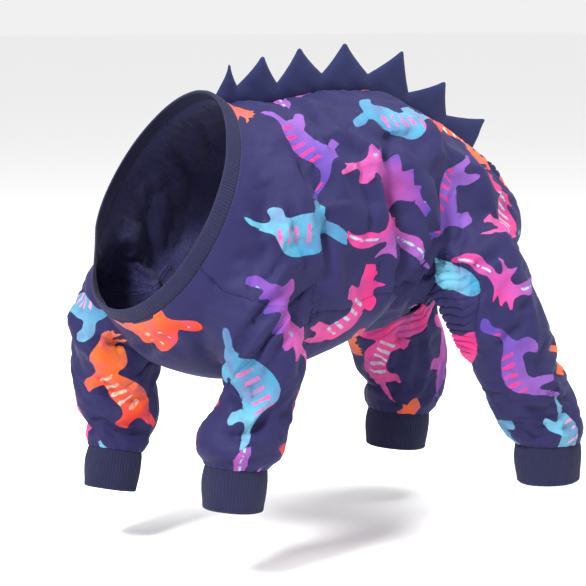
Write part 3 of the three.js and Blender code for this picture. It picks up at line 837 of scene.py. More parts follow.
# Folds seen in the photograph: pixels along each, width and depth in millimetres; a depth
# below 0 is a roll that stands out
photo_folds = [
    ([(381, 118), (388, 150), (402, 215), (407, 250), (398, 290), (378, 318)], 7.5, 4.6),
    ([(388, 128), (396, 150)], 6.0, 2.0),
    ([(363, 155), (371, 200), (367, 245)], 3.6, 2.6),
    ([(352, 112), (372, 150), (384, 205), (388, 250)], 5.0, -1.6),
    ([(304, 98), (328, 120), (350, 140)], 3.6, -1.5),
    ([(296, 104), (318, 128), (340, 152)], 3.6, 1.6),
    ([(292, 150), (318, 185), (329, 240), (326, 300)], 8.0, 2.8),
    ([(338, 165), (346, 205), (338, 262), (334, 296)], 5.5, -1.8),
    ([(283, 195), (298, 238), (311, 280)], 3.4, 2.2),
    ([(262, 190), (280, 235), (288, 282)], 4.2, -1.2),
    ([(246, 150), (262, 200), (270, 262)], 6.0, 1.4),
    ([(432, 236), (415, 268), (396, 300)], 4.2, 2.8),
    ([(420, 226), (410, 262), (386, 306)], 3.4, -1.8),
    ([(446, 252), (428, 272), (412, 292)], 3.0, 1.8),
    ([(425, 150), (440, 190), (452, 235)], 7.0, 1.6),
    ([(470, 150), (480, 200), (478, 250)], 7.0, -1.3),
    ([(505, 250), (486, 262), (470, 268)], 3.4, 1.2),
    ([(300, 288), (268, 304), (243, 336), (226, 372)], 3.8, 3.2),
    ([(306, 296), (281, 318), (256, 352), (238, 378)], 3.8, 2.6),
    ([(304, 312), (287, 332), (266, 362)], 3.4, 1.8),
    ([(285, 310), (262, 330), (240, 360)], 3.6, -1.8),
    ([(222, 378), (236, 398), (246, 412)], 3.6, 1.6),
    ([(282, 398), (262, 424), (236, 436), (212, 436)], 4.6, 2.8),
    ([(284, 430), (262, 446), (232, 452), (204, 446)], 5.0, -1.8),
    ([(205, 466), (232, 462), (270, 452)], 3.0, 1.4),
    ([(66, 322), (90, 340), (120, 348), (150, 346), (168, 338)], 4.4, 3.6),
    ([(78, 338), (106, 358), (140, 362), (160, 352)], 4.2, -2.0),
    ([(84, 356), (104, 384), (126, 402), (156, 392)], 4.4, 3.0),
    ([(88, 384), (112, 414), (140, 416)], 4.0, -1.4),
    ([(96, 420), (118, 438), (148, 430)], 3.6, 1.8),
    ([(527, 318), (508, 334), (492, 352)], 3.8, 2.2),
    ([(532, 300), (516, 312)], 3.4, 1.2),
    ([(519, 404), (546, 418), (572, 416)], 3.0, 2.4),
    ([(528, 396), (548, 404), (566, 402)], 3.0, -1.2),
    ([(536, 428), (556, 424), (578, 432)], 3.0, 1.6),
    ([(541, 386), (556, 398), (572, 400)], 2.8, 1.6),
    ([(514, 426), (530, 438), (548, 440)], 3.0, 1.4),
    ([(372, 348), (384, 372), (402, 386)], 3.8, 2.0),
    ([(398, 322), (402, 350), (394, 392)], 3.6, 2.0),
    ([(366, 396), (388, 404), (420, 402)], 3.0, 1.8),
    ([(424, 330), (426, 360), (418, 396)], 3.4, -1.4),
]


photo_fold_scale = 2.3
fold_jump = 14 * MM
fold_margin = 25 * MM
steepest_fold = 1.1
crease_power = 1.4
deepest_fold = 8 * MM
highest_fold = 2.0 * MM


def photo_relief(points, tree):
    """How far the folds seen in the photograph move each point."""
    relief = np.zeros(len(points))
    for pixels, wide, deep in photo_folds:
        path = []
        for (x1, y1), (x2, y2) in zip(pixels[:-1], pixels[1:]):
            for share in np.linspace(0, 1, 7):
                ray = photo_ray(x1 + (x2 - x1) * share, y1 + (y2 - y1) * share)
                hit = tree.ray_cast(camera_place, ray)[0]
                if hit is not None:
                    path.append(np.array(hit))
        if len(path) < 2:
            continue
        path = np.array(path)
        low, high = path.min(axis=0) - fold_margin, path.max(axis=0) + fold_margin
        close = np.flatnonzero(((points > low) & (points < high)).all(axis=1))
        if not len(close):
            continue
        best = np.full(len(close), np.inf)
        place_on = np.zeros(len(close))
        for i, (a, b) in enumerate(zip(path[:-1], path[1:])):
            way = b - a
            if np.linalg.norm(way) > fold_jump:
                continue
            share = np.clip((points[close] - a) @ way / max(way @ way, 1e-12), 0, 1)
            distance = np.linalg.norm(points[close] - a - share[:, None] * way, axis=1)
            place_on = np.where(distance < best, (i + share) / (len(path) - 1), place_on)
            best = np.minimum(best, distance)
        ends = np.clip(np.minimum(place_on, 1 - place_on) / 0.22, 0.25, 1)
        spread = best / (wide * MM)
        shape = np.exp(-spread ** crease_power) - 0.35 * np.exp(-((spread - 1.7) / 0.8) ** 2)
        depth = min(photo_fold_scale * abs(deep), steepest_fold * wide) * MM
        relief[close] -= math.copysign(depth, deep) * ends * shape
    return np.clip(relief, -deepest_fold, highest_fold)


# Silhouettes of the motifs, drawn for this part, head to the left, from -1 to 1 across
sea_reptile = [
    (-1.00, 0.30), (-0.93, 0.41), (-0.82, 0.42), (-0.72, 0.30), (-0.60, 0.12), (-0.42, 0.08),
    (-0.20, 0.22), (0.05, 0.28), (0.30, 0.22), (0.52, 0.07), (0.75, 0.00), (1.00, 0.12),
    (0.80, -0.13), (0.58, -0.14), (0.54, -0.26), (0.66, -0.46), (0.58, -0.55), (0.40, -0.42),
    (0.28, -0.23), (0.05, -0.27), (-0.08, -0.27), (-0.08, -0.42), (0.04, -0.62), (-0.08, -0.70),
    (-0.28, -0.48), (-0.36, -0.20), (-0.52, -0.09), (-0.66, 0.01), (-0.78, 0.17), (-0.92, 0.22),
]
sail_back = [
    (-1.00, -0.10), (-0.96, 0.02), (-0.80, 0.11), (-0.62, 0.07), (-0.54, 0.20), (-0.44, 0.44),
    (-0.28, 0.60), (-0.08, 0.66), (0.14, 0.60), (0.32, 0.42), (0.42, 0.18), (0.50, 0.04),
    (0.70, -0.02), (0.88, -0.08), (1.00, -0.22), (0.80, -0.19), (0.60, -0.20), (0.54, -0.30),
    (0.60, -0.48), (0.50, -0.54), (0.36, -0.46), (0.30, -0.28), (0.10, -0.26), (-0.20, -0.26),
    (-0.26, -0.36), (-0.20, -0.52), (-0.34, -0.57), (-0.46, -0.44), (-0.50, -0.24),
    (-0.66, -0.18), (-0.84, -0.21), (-0.96, -0.19),
]
three_horned = [
    (-1.00, -0.16), (-0.97, -0.02), (-0.90, 0.10), (-0.93, 0.26), (-0.82, 0.13), (-0.74, 0.17),
    (-0.84, 0.46), (-0.62, 0.28), (-0.54, 0.50), (-0.38, 0.54), (-0.32, 0.36), (-0.28, 0.22),
    (-0.08, 0.35), (0.18, 0.38), (0.42, 0.28), (0.62, 0.10), (0.82, 0.00), (1.00, -0.10),
    (0.80, -0.14), (0.62, -0.16), (0.58, -0.30), (0.62, -0.54), (0.44, -0.58), (0.38, -0.40),
    (0.26, -0.25), (0.05, -0.26), (-0.16, -0.23), (-0.20, -0.40), (-0.16, -0.56), (-0.36, -0.58),
    (-0.40, -0.40), (-0.47, -0.21), (-0.62, -0.25), (-0.80, -0.27), (-0.93, -0.25),
]
winged = [
    (-1.00, 0.06), (-0.72, 0.30), (-0.44, 0.30), (-0.20, 0.18), (-0.10, 0.30), (-0.24, 0.60),
    (-0.03, 0.47), (0.18, 0.58), (0.09, 0.34), (0.17, 0.18), (0.44, 0.32), (0.74, 0.28),
    (1.00, 0.00), (0.72, 0.06), (0.50, -0.04), (0.34, -0.02), (0.21, -0.14), (0.19, -0.44),
    (0.09, -0.22), (0.00, -0.40), (-0.08, -0.22), (-0.20, -0.46), (-0.21, -0.14), (-0.36, 0.00),
    (-0.54, -0.04), (-0.74, 0.07),
]
plated = [
    (-1.00, -0.14), (-0.95, -0.03), (-0.80, 0.00), (-0.67, 0.04), (-0.66, 0.23), (-0.51, 0.13),
    (-0.46, 0.42), (-0.28, 0.23), (-0.17, 0.56), (0.00, 0.29), (0.15, 0.52), (0.26, 0.21),
    (0.43, 0.36), (0.47, 0.07), (0.66, -0.04), (0.86, 0.14), (0.82, -0.06), (1.00, -0.03),
    (0.86, -0.17), (0.66, -0.19), (0.53, -0.25), (0.53, -0.54), (0.34, -0.56), (0.27, -0.31),
    (0.00, -0.29), (-0.22, -0.27), (-0.24, -0.52), (-0.41, -0.54), (-0.45, -0.27),
    (-0.64, -0.17), (-0.80, -0.23), (-0.94, -0.23),
]

hot_pink = (0.50, 0.016, 0.13)
rose = (0.46, 0.060, 0.21)
orange_red = (0.56, 0.034, 0.009)
amber = (0.55, 0.115, 0.018)
teal = (0.025, 0.16, 0.27)
aqua = (0.085, 0.27, 0.36)
lavender = (0.17, 0.065, 0.28)
violet_blue = (0.045, 0.030, 0.23)
pale_teal = (0.23, 0.37, 0.42)
pale_pink = (0.46, 0.20, 0.33)
pale_cream = (0.46, 0.37, 0.28)

stripes_across = [(x, 0.34, x + 0.05, -0.02, 0.028) for x in (-0.28, -0.12, 0.04, 0.20, 0.36)]
spots_round = [
    (-0.30, 0.34, -0.30, 0.34, 0.045), (-0.08, 0.46, -0.08, 0.46, 0.055),
    (0.16, 0.36, 0.16, 0.36, 0.045), (-0.16, 0.16, -0.16, 0.16, 0.05),
    (0.10, 0.10, 0.10, 0.10, 0.06), (0.34, 0.10, 0.34, 0.10, 0.04),
    (-0.78, 0.00, -0.78, 0.00, 0.03), (0.66, -0.10, 0.66, -0.10, 0.03),
]
wing_bars = [
    (-0.86, 0.12, -0.60, 0.14, 0.03), (-0.52, 0.14, -0.34, 0.12, 0.03),
    (0.32, 0.12, 0.52, 0.13, 0.03), (0.60, 0.15, 0.84, 0.10, 0.03),
]
belly_bars = [(x, 0.10, x + 0.03, -0.22, 0.03) for x in (-0.30, -0.14, 0.02, 0.18, 0.34)]
neck_bars = [(-0.66, 0.20, -0.60, 0.06, 0.025)] + [
    (x, 0.24, x + 0.02, -0.04, 0.03) for x in (-0.24, -0.08, 0.08, 0.24, 0.40)
]

# Outline, marks, two tints and the colour of the marks
motif_kinds = [
    (sea_reptile, neck_bars, teal, aqua, pale_pink),
    (sail_back, spots_round, orange_red, amber, pale_cream),
    (three_horned, belly_bars, hot_pink, rose, pale_teal),
    (winged, wing_bars, lavender, hot_pink, pale_teal),
    (plated, spots_round[4:], violet_blue, rose, aqua),
    (sail_back, stripes_across, teal, aqua, rose),
    (sea_reptile, neck_bars, violet_blue, lavender, hot_pink),
    (three_horned, belly_bars, amber, orange_red, pale_cream),
]


def round_outline(rows, steps=4):
    """Smooth closed curve through the rows."""
    rows = np.array(rows)
    points = []
    for i in range(len(rows)):
        a, b, c, d = (rows[(i + k) % len(rows)] for k in (-1, 0, 1, 2))
        for f in np.arange(steps) / steps:
            points.append(
                b + f * ((c - a) / 2 + f * (a - 2.5 * b + 2 * c - d / 2 + f * (1.5 * (b - c) + (d - a) / 2)))
            )
    return np.array(points)


def outline_distance(spots, outline):
    """Distance of flat points from a closed outline, below 0 inside it."""
    start = outline
    way = np.roll(outline, -1, axis=0) - start
    best = np.full(len(spots), np.inf)
    inside = np.zeros(len(spots), bool)
    for (x, y), (dx, dy) in zip(start, way):
        px, py = spots[:, 0] - x, spots[:, 1] - y
        share = np.clip((px * dx + py * dy) / max(dx * dx + dy * dy, 1e-12), 0, 1)
        best = np.minimum(best, (px - share * dx) ** 2 + (py - share * dy) ** 2)
        crosses = (py < 0) != (py - dy < 0)
        if dy:
            inside ^= crosses & (px < dx * py / dy)
    return np.where(inside, -1, 1) * np.sqrt(best)


def mark_distance(spots, marks):
    best = np.full(len(spots), np.inf)
    for x1, y1, x2, y2, radius in marks:
        px, py = spots[:, 0] - x1, spots[:, 1] - y1
        dx, dy = x2 - x1, y2 - y1
        share = np.clip((px * dx + py * dy) / max(dx * dx + dy * dy, 1e-12), 0, 1)
        best = np.minimum(best, np.hypot(px - share * dx, py - share * dy) - radius)
    return best


outlines = [round_outline(kind[0]) for kind in motif_kinds]


def print_values(points, number, motifs):
    """Outline distance, mark distance (metres) and colour of the print at each point."""
    edge = np.full(len(points), far_off)
    marks = np.full(len(points), far_off)
    colour = np.zeros((len(points), 3))
    for i, motif in enumerate(motifs):
        rows = np.flatnonzero(number == i)
        if not len(rows):
            continue
        kind = motif_kinds[motif["kind"]]
        flat = motif_coordinates(points[rows], motif)
        close = np.hypot(flat[:, 0], flat[:, 1]) < motif_reach
        rows, flat = rows[close], flat[close]
        edge[rows] = outline_distance(flat, outlines[motif["kind"]]) * motif["size"]
        marks[rows] = mark_distance(flat, kind[1]) * motif["size"]
        ripple = 0.10 * np.sin(5 * flat[:, 0] + i) + 0.08 * np.sin(7 * flat[:, 1] + 2 * i)
        share = np.clip(0.5 + 0.55 * flat[:, 0] - 0.5 * flat[:, 1] + ripple, 0, 1)[:, None]
        colour[rows] = np.array(kind[2]) * (1 - share) + np.array(kind[3]) * share
    return edge, marks, colour


# Where the gathered strip cuts across the print: lowest and highest place, and two tints
strip_patches = [
    (-200 * MM, -149 * MM, hot_pink, rose),
    (-121 * MM, -96 * MM, teal, aqua),
    (-74 * MM, -52 * MM, orange_red, amber),
    (-36 * MM, -22 * MM, hot_pink, lavender),
]


def strip_print(points):
    """Outline distance, mark distance and colour of the print on the gathered strip."""
    wave = 3 * MM * np.sin(points[:, 0] / (4 * MM)) + 2 * MM * np.sin(points[:, 1] / (3 * MM))
    share = 0.5 + 0.5 * np.sin(points[:, :1] / (5 * MM))
    edge = np.full(len(points), far_off)
    colour = np.zeros((len(points), 3))
    for low, high, first, second in strip_patches:
        outside = np.abs(points[:, 2] + wave - (low + high) / 2) - (high - low) / 2
        closer = (outside < edge)[:, None]
        colour = np.where(closer, np.array(first) * (1 - share) + np.array(second) * share, colour)
        edge = np.minimum(edge, outside)
    return edge, np.full(len(points), far_off), colour


# Cutting the skin into its panels, with finer triangles at seams, pleats and edges of the print

seam_strip = 1.5 * MM
band_strip = 2 * MM
outline_strip = 1.1 * MM
mark_strip = 0.6 * MM
seam_edge_length = 2.0 * MM
band_edge_length = 1.15 * MM
print_edge_length = 1.6 * MM


def dressed_skin():
    points, triangles = suit_skin()
    motifs = scatter_motifs(points, triangles)
    normals = vertex_normals(points, triangles)
    shift = slacken(points, triangles)
    points = np.hstack([points, normals, shift])
    leg_ends = [leg_end_field(leg) for leg in legs.values()]
    seams = [neck_seam_field, opening_field, band_field, belly_field, centre_field]
    seams += [sleeve_field(1), sleeve_field(-1)] + leg_ends
    for field in [neck_field] + seams:
        points, triangles = cut_line(points, triangles, field)
    gone = side_of(points, triangles, neck_seam_field)
    gone |= ~side_of(points, triangles, opening_field)
    for field in leg_ends:
        gone |= side_of(points, triangles, field)
    points, triangles = compact(points, triangles[~gone])

    def near_seam(spots):
        return np.min([np.abs(field(spots)) for field in seams], axis=0) < seam_strip

    def in_band(spots):
        margin = tube_place(spots)[0]
        return (margin < strip_width(spots) + band_strip) & (spots[:, 0] < belly_edge + band_strip)

    def near_print(spots):
        number = motif_of(spots[:, :3], spots[:, 3:6], motifs)
        edge, marks, _ = print_values(spots[:, :3], number, motifs)
        return (np.abs(edge) < outline_strip) | ((np.abs(marks) < mark_strip) & (edge < 0))

    points, triangles = refine(points, triangles, near_seam, seam_edge_length)
    points, triangles = refine(points, triangles, in_band, band_edge_length)
    points, triangles = refine(points, triangles, near_print, print_edge_length)
    return points, triangles, motifs


# Materials

def new_material(name, build):
    material = bpy.data.materials.new(name)
    material.use_nodes = True
    nodes = material.node_tree.nodes
    shader = nodes["Principled BSDF"]
    build(nodes, material.node_tree.links, shader)
    return material


def node(nodes, kind, **settings):
    made = nodes.new(kind)
    for key, value in settings.items():
        if key in made.inputs:
            made.inputs[key].default_value = value
        else:
            setattr(made, key, value)
    return made


def mix_colour(nodes, links, factor, a, b):
    """Colour mixed from a to b; each may be a socket or a colour."""
    mixer = node(nodes, "ShaderNodeMix", data_type="RGBA")
    for socket, value in ((mixer.inputs[0], factor), (mixer.inputs[6], a), (mixer.inputs[7], b)):
        if isinstance(value, bpy.types.NodeSocket):
            links.new(value, socket)
        elif isinstance(value, float):
            socket.default_value = value
        else:
            socket.default_value = (*value, 1)
    return mixer.outputs[2]


def ramp(nodes, links, value, low, high):
    """Value spread from 0 at low to 1 at high."""
    made = node(nodes, "ShaderNodeMapRange", interpolation_type="SMOOTHSTEP")
    made.inputs["From Min"].default_value = low
    made.inputs["From Max"].default_value = high
    links.new(value, made.inputs["Value"])
    return made.outputs["Result"]


def noise(nodes, links, scale, detail=3.0, stretch=(1, 1, 1)):
    place_node = node(nodes, "ShaderNodeTexCoord")
    mapping = node(nodes, "ShaderNodeMapping")
    mapping.inputs["Scale"].default_value = stretch
    made = node(nodes, "ShaderNodeTexNoise", Scale=scale, Detail=detail)
    links.new(place_node.outputs["Object"], mapping.inputs["Vector"])
    links.new(mapping.outputs["Vector"], made.inputs["Vector"])
    return made.outputs["Fac"]


def bump(nodes, links, shader, height, strength, distance):
    made = node(nodes, "ShaderNodeBump", Strength=strength, Distance=distance)
    links.new(height, made.inputs["Height"])
    if shader.inputs["Normal"].links:
        links.new(shader.inputs["Normal"].links[0].from_socket, made.inputs["Normal"])
    links.new(made.outputs["Normal"], shader.inputs["Normal"])


def knit_bump(nodes, links, shader, scale, strength, distance):
    """Fine loops of a knitted cloth with a little fuzz."""
    fine = noise(nodes, links, scale, 2.0, (1.0, 1.0, 1.6))
    bump(nodes, links, shader, fine, strength, distance)
    slow = noise(nodes, links, scale / 9, 3.0)
    bump(nodes, links, shader, slow, strength * 0.6, distance * 2.2)


navy_deep = (0.009, 0.0078, 0.041)
navy_soft = (0.015, 0.013, 0.066)
cuff_navy = (0.007, 0.007, 0.026)
cuff_navy_soft = (0.013, 0.013, 0.042)
ridge_navy = (0.007, 0.009, 0.045)
ridge_navy_soft = (0.012, 0.015, 0.062)
reverse_navy = (0.055, 0.055, 0.12)
print_soften = 0.22 * MM
cloth_gloss = 0.16


def soft_finish(nodes, links, shader, scale, low, high, sheen, sheen_roughness):
    """Roughness that wanders from low to high, with little gloss and a faint sheen."""
    rough = node(nodes, "ShaderNodeMapRange")
    rough.inputs["To Min"].default_value = low
    rough.inputs["To Max"].default_value = high
    links.new(noise(nodes, links, scale), rough.inputs["Value"])
    links.new(rough.outputs["Result"], shader.inputs["Roughness"])
    shader.inputs["Sheen Weight"].default_value = sheen
    shader.inputs["Specular IOR Level"].default_value = cloth_gloss
    shader.inputs["Sheen Roughness"].default_value = sheen_roughness


def cloth_nodes(nodes, links, shader):
    ground = mix_colour(nodes, links, noise(nodes, links, 38.0), navy_deep, navy_soft)
    layers = ("print_colour", "print_edge", "mark_edge", "mark_colour")
    tint, edge, marks, mark_tint = (
        node(nodes, "ShaderNodeAttribute", attribute_name=layer) for layer in layers
    )
    wash = ramp(nodes, links, noise(nodes, links, 75.0, 4.0), 0.35, 0.72)
    deep = mix_colour(nodes, links, 0.45, tint.outputs["Color"], (0.10, 0.03, 0.16))
    ink = mix_colour(nodes, links, wash, tint.outputs["Color"], deep)
    bright = ramp(nodes, links, noise(nodes, links, 120.0, 2.0), 0.55, 0.80)
    ink = mix_colour(nodes, links, bright, ink, tint.outputs["Color"])
    inside_mark = ramp(nodes, links, marks.outputs["Fac"], print_soften, -print_soften)
    worn_mark = node(nodes, "ShaderNodeMath", operation="MULTIPLY")
    links.new(inside_mark, worn_mark.inputs[0])
    links.new(ramp(nodes, links, noise(nodes, links, 210.0), 0.2, 0.6), worn_mark.inputs[1])
    ink = mix_colour(nodes, links, worn_mark.outputs[0], ink, mark_tint.outputs["Color"])
    inside = ramp(nodes, links, edge.outputs["Fac"], print_soften, -print_soften)
    links.new(mix_colour(nodes, links, inside, ground, ink), shader.inputs["Base Color"])
    soft_finish(nodes, links, shader, 90.0, 0.58, 0.78, 0.06, 0.45)
    shader.inputs["Sheen Tint"].default_value = (0.50, 0.50, 1.0, 1)
    knit_bump(nodes, links, shader, 1500.0, 0.25, 0.25 * MM)


def plain_nodes(dark, light, scale, roughness, sheen, strength):
    def build(nodes, links, shader):
        tone = mix_colour(nodes, links, noise(nodes, links, scale), dark, light)
        fleck = ramp(nodes, links, noise(nodes, links, 900.0, 2.0), 0.35, 0.75)
        tone = mix_colour(nodes, links, fleck, tone, light)
        links.new(tone, shader.inputs["Base Color"])
        soft_finish(nodes, links, shader, 160.0, roughness - 0.08, roughness + 0.08, sheen, 0.5)
        knit_bump(nodes, links, shader, 1300.0, strength, 0.3 * MM)
    return build


cloth = new_material("printed_jersey", cloth_nodes)
reverse = new_material("jersey_reverse", plain_nodes(reverse_navy, navy_soft, 60.0, 0.85, 0.05, 0.3))
rib = new_material("rib_knit", plain_nodes(cuff_navy, cuff_navy_soft, 70.0, 0.86, 0.05, 0.5))
ridge_finish = new_material("ridge_cloth", plain_nodes(ridge_navy, ridge_navy_soft, 45.0, 0.78, 0.05, 0.35))


# Pieces

def dress(piece, materials):
    for material in materials:
        piece.data.materials.append(material)
    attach(piece, "root")


def mesh_piece(name, points, faces, indices=None):
    mesh = bpy.data.meshes.new(name)
    mesh.from_pydata(points.tolist(), [], [list(map(int, face)) for face in faces])
    mesh.polygons.foreach_set("use_smooth", np.ones(len(mesh.polygons), bool))
    if indices is not None:
        mesh.polygons.foreach_set("material_index", indices)
    piece = bpy.data.objects.new(name, mesh)
    bpy.context.scene.collection.objects.link(piece)
    return piece


def closed_faces(triangles, count):
    """Faces of an outer side, of an inner side numbered count further on, and between them."""
    border = border_edges(triangles)
    rim = np.stack([border[:, 1], border[:, 0], border[:, 0] + count, border[:, 1] + count], axis=1)
    return triangles.tolist() + (triangles[:, ::-1] + count).tolist() + rim.tolist()


def shell_piece(name, points, normals, triangles, thickness, number, motifs, gathered):
    """A panel of cloth: its outer side, its inner side and the edges between them."""
    used, index = np.unique(triangles, return_inverse=True)
    triangles = index.reshape(-1, 3)
    outer = points[used]
    reference = outer[:, 6:9]
    inner = outer[:, :3] - normals[used] * thickness[used, None]
    faces = closed_faces(triangles, len(outer))
    indices = np.zeros(len(faces), np.int32)
    indices[len(triangles):] = 1
    piece = mesh_piece(name, np.vstack([outer[:, :3], inner]), faces, indices)
    corners = triangles.ravel()
    if gathered:
        edge, marks, colour = strip_print(reference[corners])
    else:
        edge, marks, colour = print_values(reference[corners], np.repeat(number, 3), motifs)
    mark_colour = np.array([motif_kinds[motif["kind"]][4] for motif in motifs])[np.repeat(number, 3)]
    total = len(piece.data.loops)
    for title, kind, values in (("print_edge", "FLOAT", edge), ("mark_edge", "FLOAT", marks)):
        layer = piece.data.attributes.new(title, kind, "CORNER")
        full = np.full(total, far_off)
        full[:len(values)] = values
        layer.data.foreach_set("value", full)
    for title, values in (("print_colour", colour), ("mark_colour", mark_colour)):
        layer = piece.data.attributes.new(title, "FLOAT_COLOR", "CORNER")
        full = np.ones((total, 4))
        full[:len(values), :3] = values
        layer.data.foreach_set("color", full.ravel())
    return piece


pleat_height = 1.5 * MM
pleat_count = 88
pleat_sharpness = 0.6
cuff_pleat_height = 0.9 * MM
cuff_pleat_count = 19
cuff_pleat_reach = 6 * MM
cuff_fade = 7 * MM
seam_depth = 0.9 * MM
seam_reach = 1.5 * MM
hem_height = 0.5 * MM
hem_width = 5 * MM


def wrinkles(points):
    """How far the cloth stands out at each point: folds of the table, gathers at cuffs and strip."""
    relief = fold_relief(points)
    for leg in legs.values():
        start, down, radius = cuff_frame(leg)
        offset = points - start
        height = -(offset @ down)
        spoke = offset + np.outer(height, down)
        near = (np.linalg.norm(spoke, axis=1) < leg_end_girth * radius) & (height < 50 * MM)
        first, second = cross_directions(down)
        angle = np.arctan2(offset @ second, offset @ first)
        fade = np.clip(height / cuff_fade, 0, 1)
        pleats = cuff_pleat_height * np.cos(cuff_pleat_count * angle + 2 * np.sin(3 * angle))
        pleats *= np.exp(-np.abs(height) / cuff_pleat_reach)
        relief = np.where(near, relief * fade + pleats * (1 - 0.3 * fade), relief)
    margin, angle, share = tube_place(points)
    width = strip_width(points)
    in_strip = np.clip((width - margin) / (3 * MM), 0, 1) * np.clip(1.6 - 1.2 * margin / width, 0, 1)
    turn = pleat_count * angle + 3 * np.sin(4 * angle) + 1.5 * np.sin(40 * share)
    pleats = pleat_sharpness - 2 * pleat_sharpness * np.exp(-(np.sin(turn / 2) / 0.35) ** 2)
    relief = np.where(points[:, 0] < belly_edge, relief + pleat_height * in_strip * pleats, relief)
    return relief


def seam_distance(points, triangles, group):
    """Distances of each point from the nearest seam between panels and the nearest open edge."""
    edges, index = edge_table(triangles)
    low = np.full(len(edges), 99)
    high = np.full(len(edges), -1)
    np.minimum.at(low, index.ravel(), np.repeat(group, 3))
    np.maximum.at(high, index.ravel(), np.repeat(group, 3))
    on_seam = np.unique(edges[low != high])
    open_edge = np.unique(border_edges(triangles))
    result = []
    for chosen in (on_seam, open_edge):
        tree = KDTree(len(chosen))
        for i, number in enumerate(chosen):
            tree.insert(Vector(points[number, :3]), i)
        tree.balance()
        result.append(np.array([tree.find(Vector(p))[2] for p in points[:, :3]]))
    return result


draw_in_height = 6 * MM
draw_in_overlap = 0.4 * MM


def drawn_in(points):
    """The points, with the end of each leg drawn in to the top of its cuff."""
    for leg in legs.values():
        start, down, radius = cuff_frame(leg)
        offset = points - start
        height = -(offset @ down)
        spoke = offset + np.outer(height, down)
        size = np.linalg.norm(spoke, axis=1)
        near = (size < leg_end_girth * radius) & (height < draw_in_height)
        pull = np.clip(1 - height / draw_in_height, 0, 1) ** 2
        factor = np.where(near, 1 + pull * ((radius + draw_in_overlap) / size - 1), 1)
        points = start - np.outer(height, down) + spoke * factor[:, None]
    return points


def suit_pieces():
    points, triangles, motifs = dressed_skin()
    names = ["side_panel_left", "side_panel_right", "belly_opening_band", "belly_panel",
             "front_sleeve_left", "front_sleeve_right"]
    group = np.where(side_of(points, triangles, centre_field), 0, 1)
    group[side_of(points, triangles, band_field)] = 2
    group[side_of(points, triangles, belly_field)] = 3
    group[side_of(points, triangles, sleeve_field(1))] = 4
    group[side_of(points, triangles, sleeve_field(-1))] = 5
    centres = points[triangles].mean(axis=1)
    number = motif_of(centres[:, :3], centres[:, 3:6], motifs)
    seam, free = seam_distance(points, triangles, group)
    normals = vertex_normals(points, triangles)
    relief = wrinkles(points[:, :3])
    tree = tree_of(points[:, :3], triangles)
    held = np.clip(1.15 - pin_weights(points[:, :3]), 0, 1)
    relief += photo_relief(points[:, :3], tree) * held
    relief -= seam_depth * np.exp(-(seam / seam_reach) ** 2)
    margin = tube_place(points)[0]
    hemmed = (np.abs(margin) < 12 * MM) & (points[:, 0] < belly_edge + 1 * MM)
    relief += np.where(hemmed, hem_height * np.clip((hem_width - free) / (1.5 * MM), 0, 1), 0)
    moved = drawn_in(points[:, :3] + normals * relief[:, None] + points[:, 6:9])
    shown = np.hstack([moved, points[:, 3:6], points[:, :3]])
    normals = vertex_normals(moved, triangles)
    thickness = np.full(len(points), cloth_thickness)
    thickness += np.where(hemmed & (free < hem_width), 0.8 * MM, 0)
    for i, name in enumerate(names):
        mine = group == i
        faces, cells = triangles[mine], number[mine]
        gathered = name == "belly_opening_band"
        piece = shell_piece("suit_" + name, shown, normals, faces, thickness, cells, motifs, gathered)
        dress(piece, [cloth, reverse])
        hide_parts(name)
    return moved, triangles


skin_points, skin_triangles = suit_pieces()


# Rib cuffs

def tube_grid(rows, columns):
    """Quads of a closed tube whose rows run round a closed profile."""
    faces = []
    for i in range(rows):
        k = (i + 1) % rows
        for j in range(columns):
            m = (j + 1) % columns
            faces.append((i * columns + j, i * columns + m, k * columns + m, k * columns + j))
    return faces


mouth_draw = 0.5 * MM
cuff_top_rise = 1.4 * MM
cuff_groove = 0.2 * MM
cuff_groove_reach = 1.3 * MM
cuff_slack = 0.35 * MM
cuff_slack_small = 0.25 * MM
cuff_slack_fade = 8 * MM
rib_height = 0.42 * MM
rib_pitch = 2.1 * MM
columns_per_rib = 6


def rib_wave(angle, count):
    return np.sqrt(np.abs(np.cos(count * angle / 2))) - 0.6


def cuff_piece(name, leg):
    start, down, radius = cuff_frame(leg)
    first, second = cross_directions(down)
    count = int(round(2 * math.pi * radius / rib_pitch))
    columns = count * columns_per_rib
    angle = 2 * np.pi * np.arange(columns) / columns
    profile = []
    for at in np.linspace(0.0, 1.0, 22):
        height = at * (cuff_length - cuff_wall / 2)
        swell = cuff_swell * math.sin(math.pi * min(at * 1.15, 1.0)) - mouth_draw * at ** 3
        profile.append((height, swell, 1.0))
    for turn in np.linspace(0, math.pi, 8)[1:-1]:
        height = cuff_length - cuff_wall / 2 + math.sin(turn) * cuff_wall / 2
        inward = (1 - math.cos(turn)) * cuff_wall / 2
        profile.append((height, -mouth_draw - inward, math.cos(turn / 2)))
    for at in np.linspace(1.0, 0.0, 10):
        profile.append((at * (cuff_length - cuff_wall / 2), -cuff_wall, 0.25))
    profile.append((-cuff_top_rise, -cuff_wall * 0.3, 0.2))
    points = []
    for height, offset, ribbed in profile:
        outside = offset > -cuff_wall * 0.4
        seam = math.exp(-(height / cuff_groove_reach) ** 2) * cuff_groove if outside else 0
        slack = cuff_slack * np.sin(2 * angle + height * 90)
        slack = slack + cuff_slack_small * np.sin(5 * angle - height * 150)
        size = radius + offset - seam + ribbed * rib_height * rib_wave(angle, count)
        size = size + slack * min(1, height / cuff_slack_fade)
        ring = start + down * height
        points.append(ring + np.outer(size * np.cos(angle), first) + np.outer(size * np.sin(angle), second))
    piece = mesh_piece("rib_" + name, np.vstack(points), tube_grid(len(profile), columns))
    dress(piece, [rib])
    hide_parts(name)


for leg_name, leg in legs.items():
    cuff_piece(leg_name + "_cuff", leg)


# Rib band round the neck edge

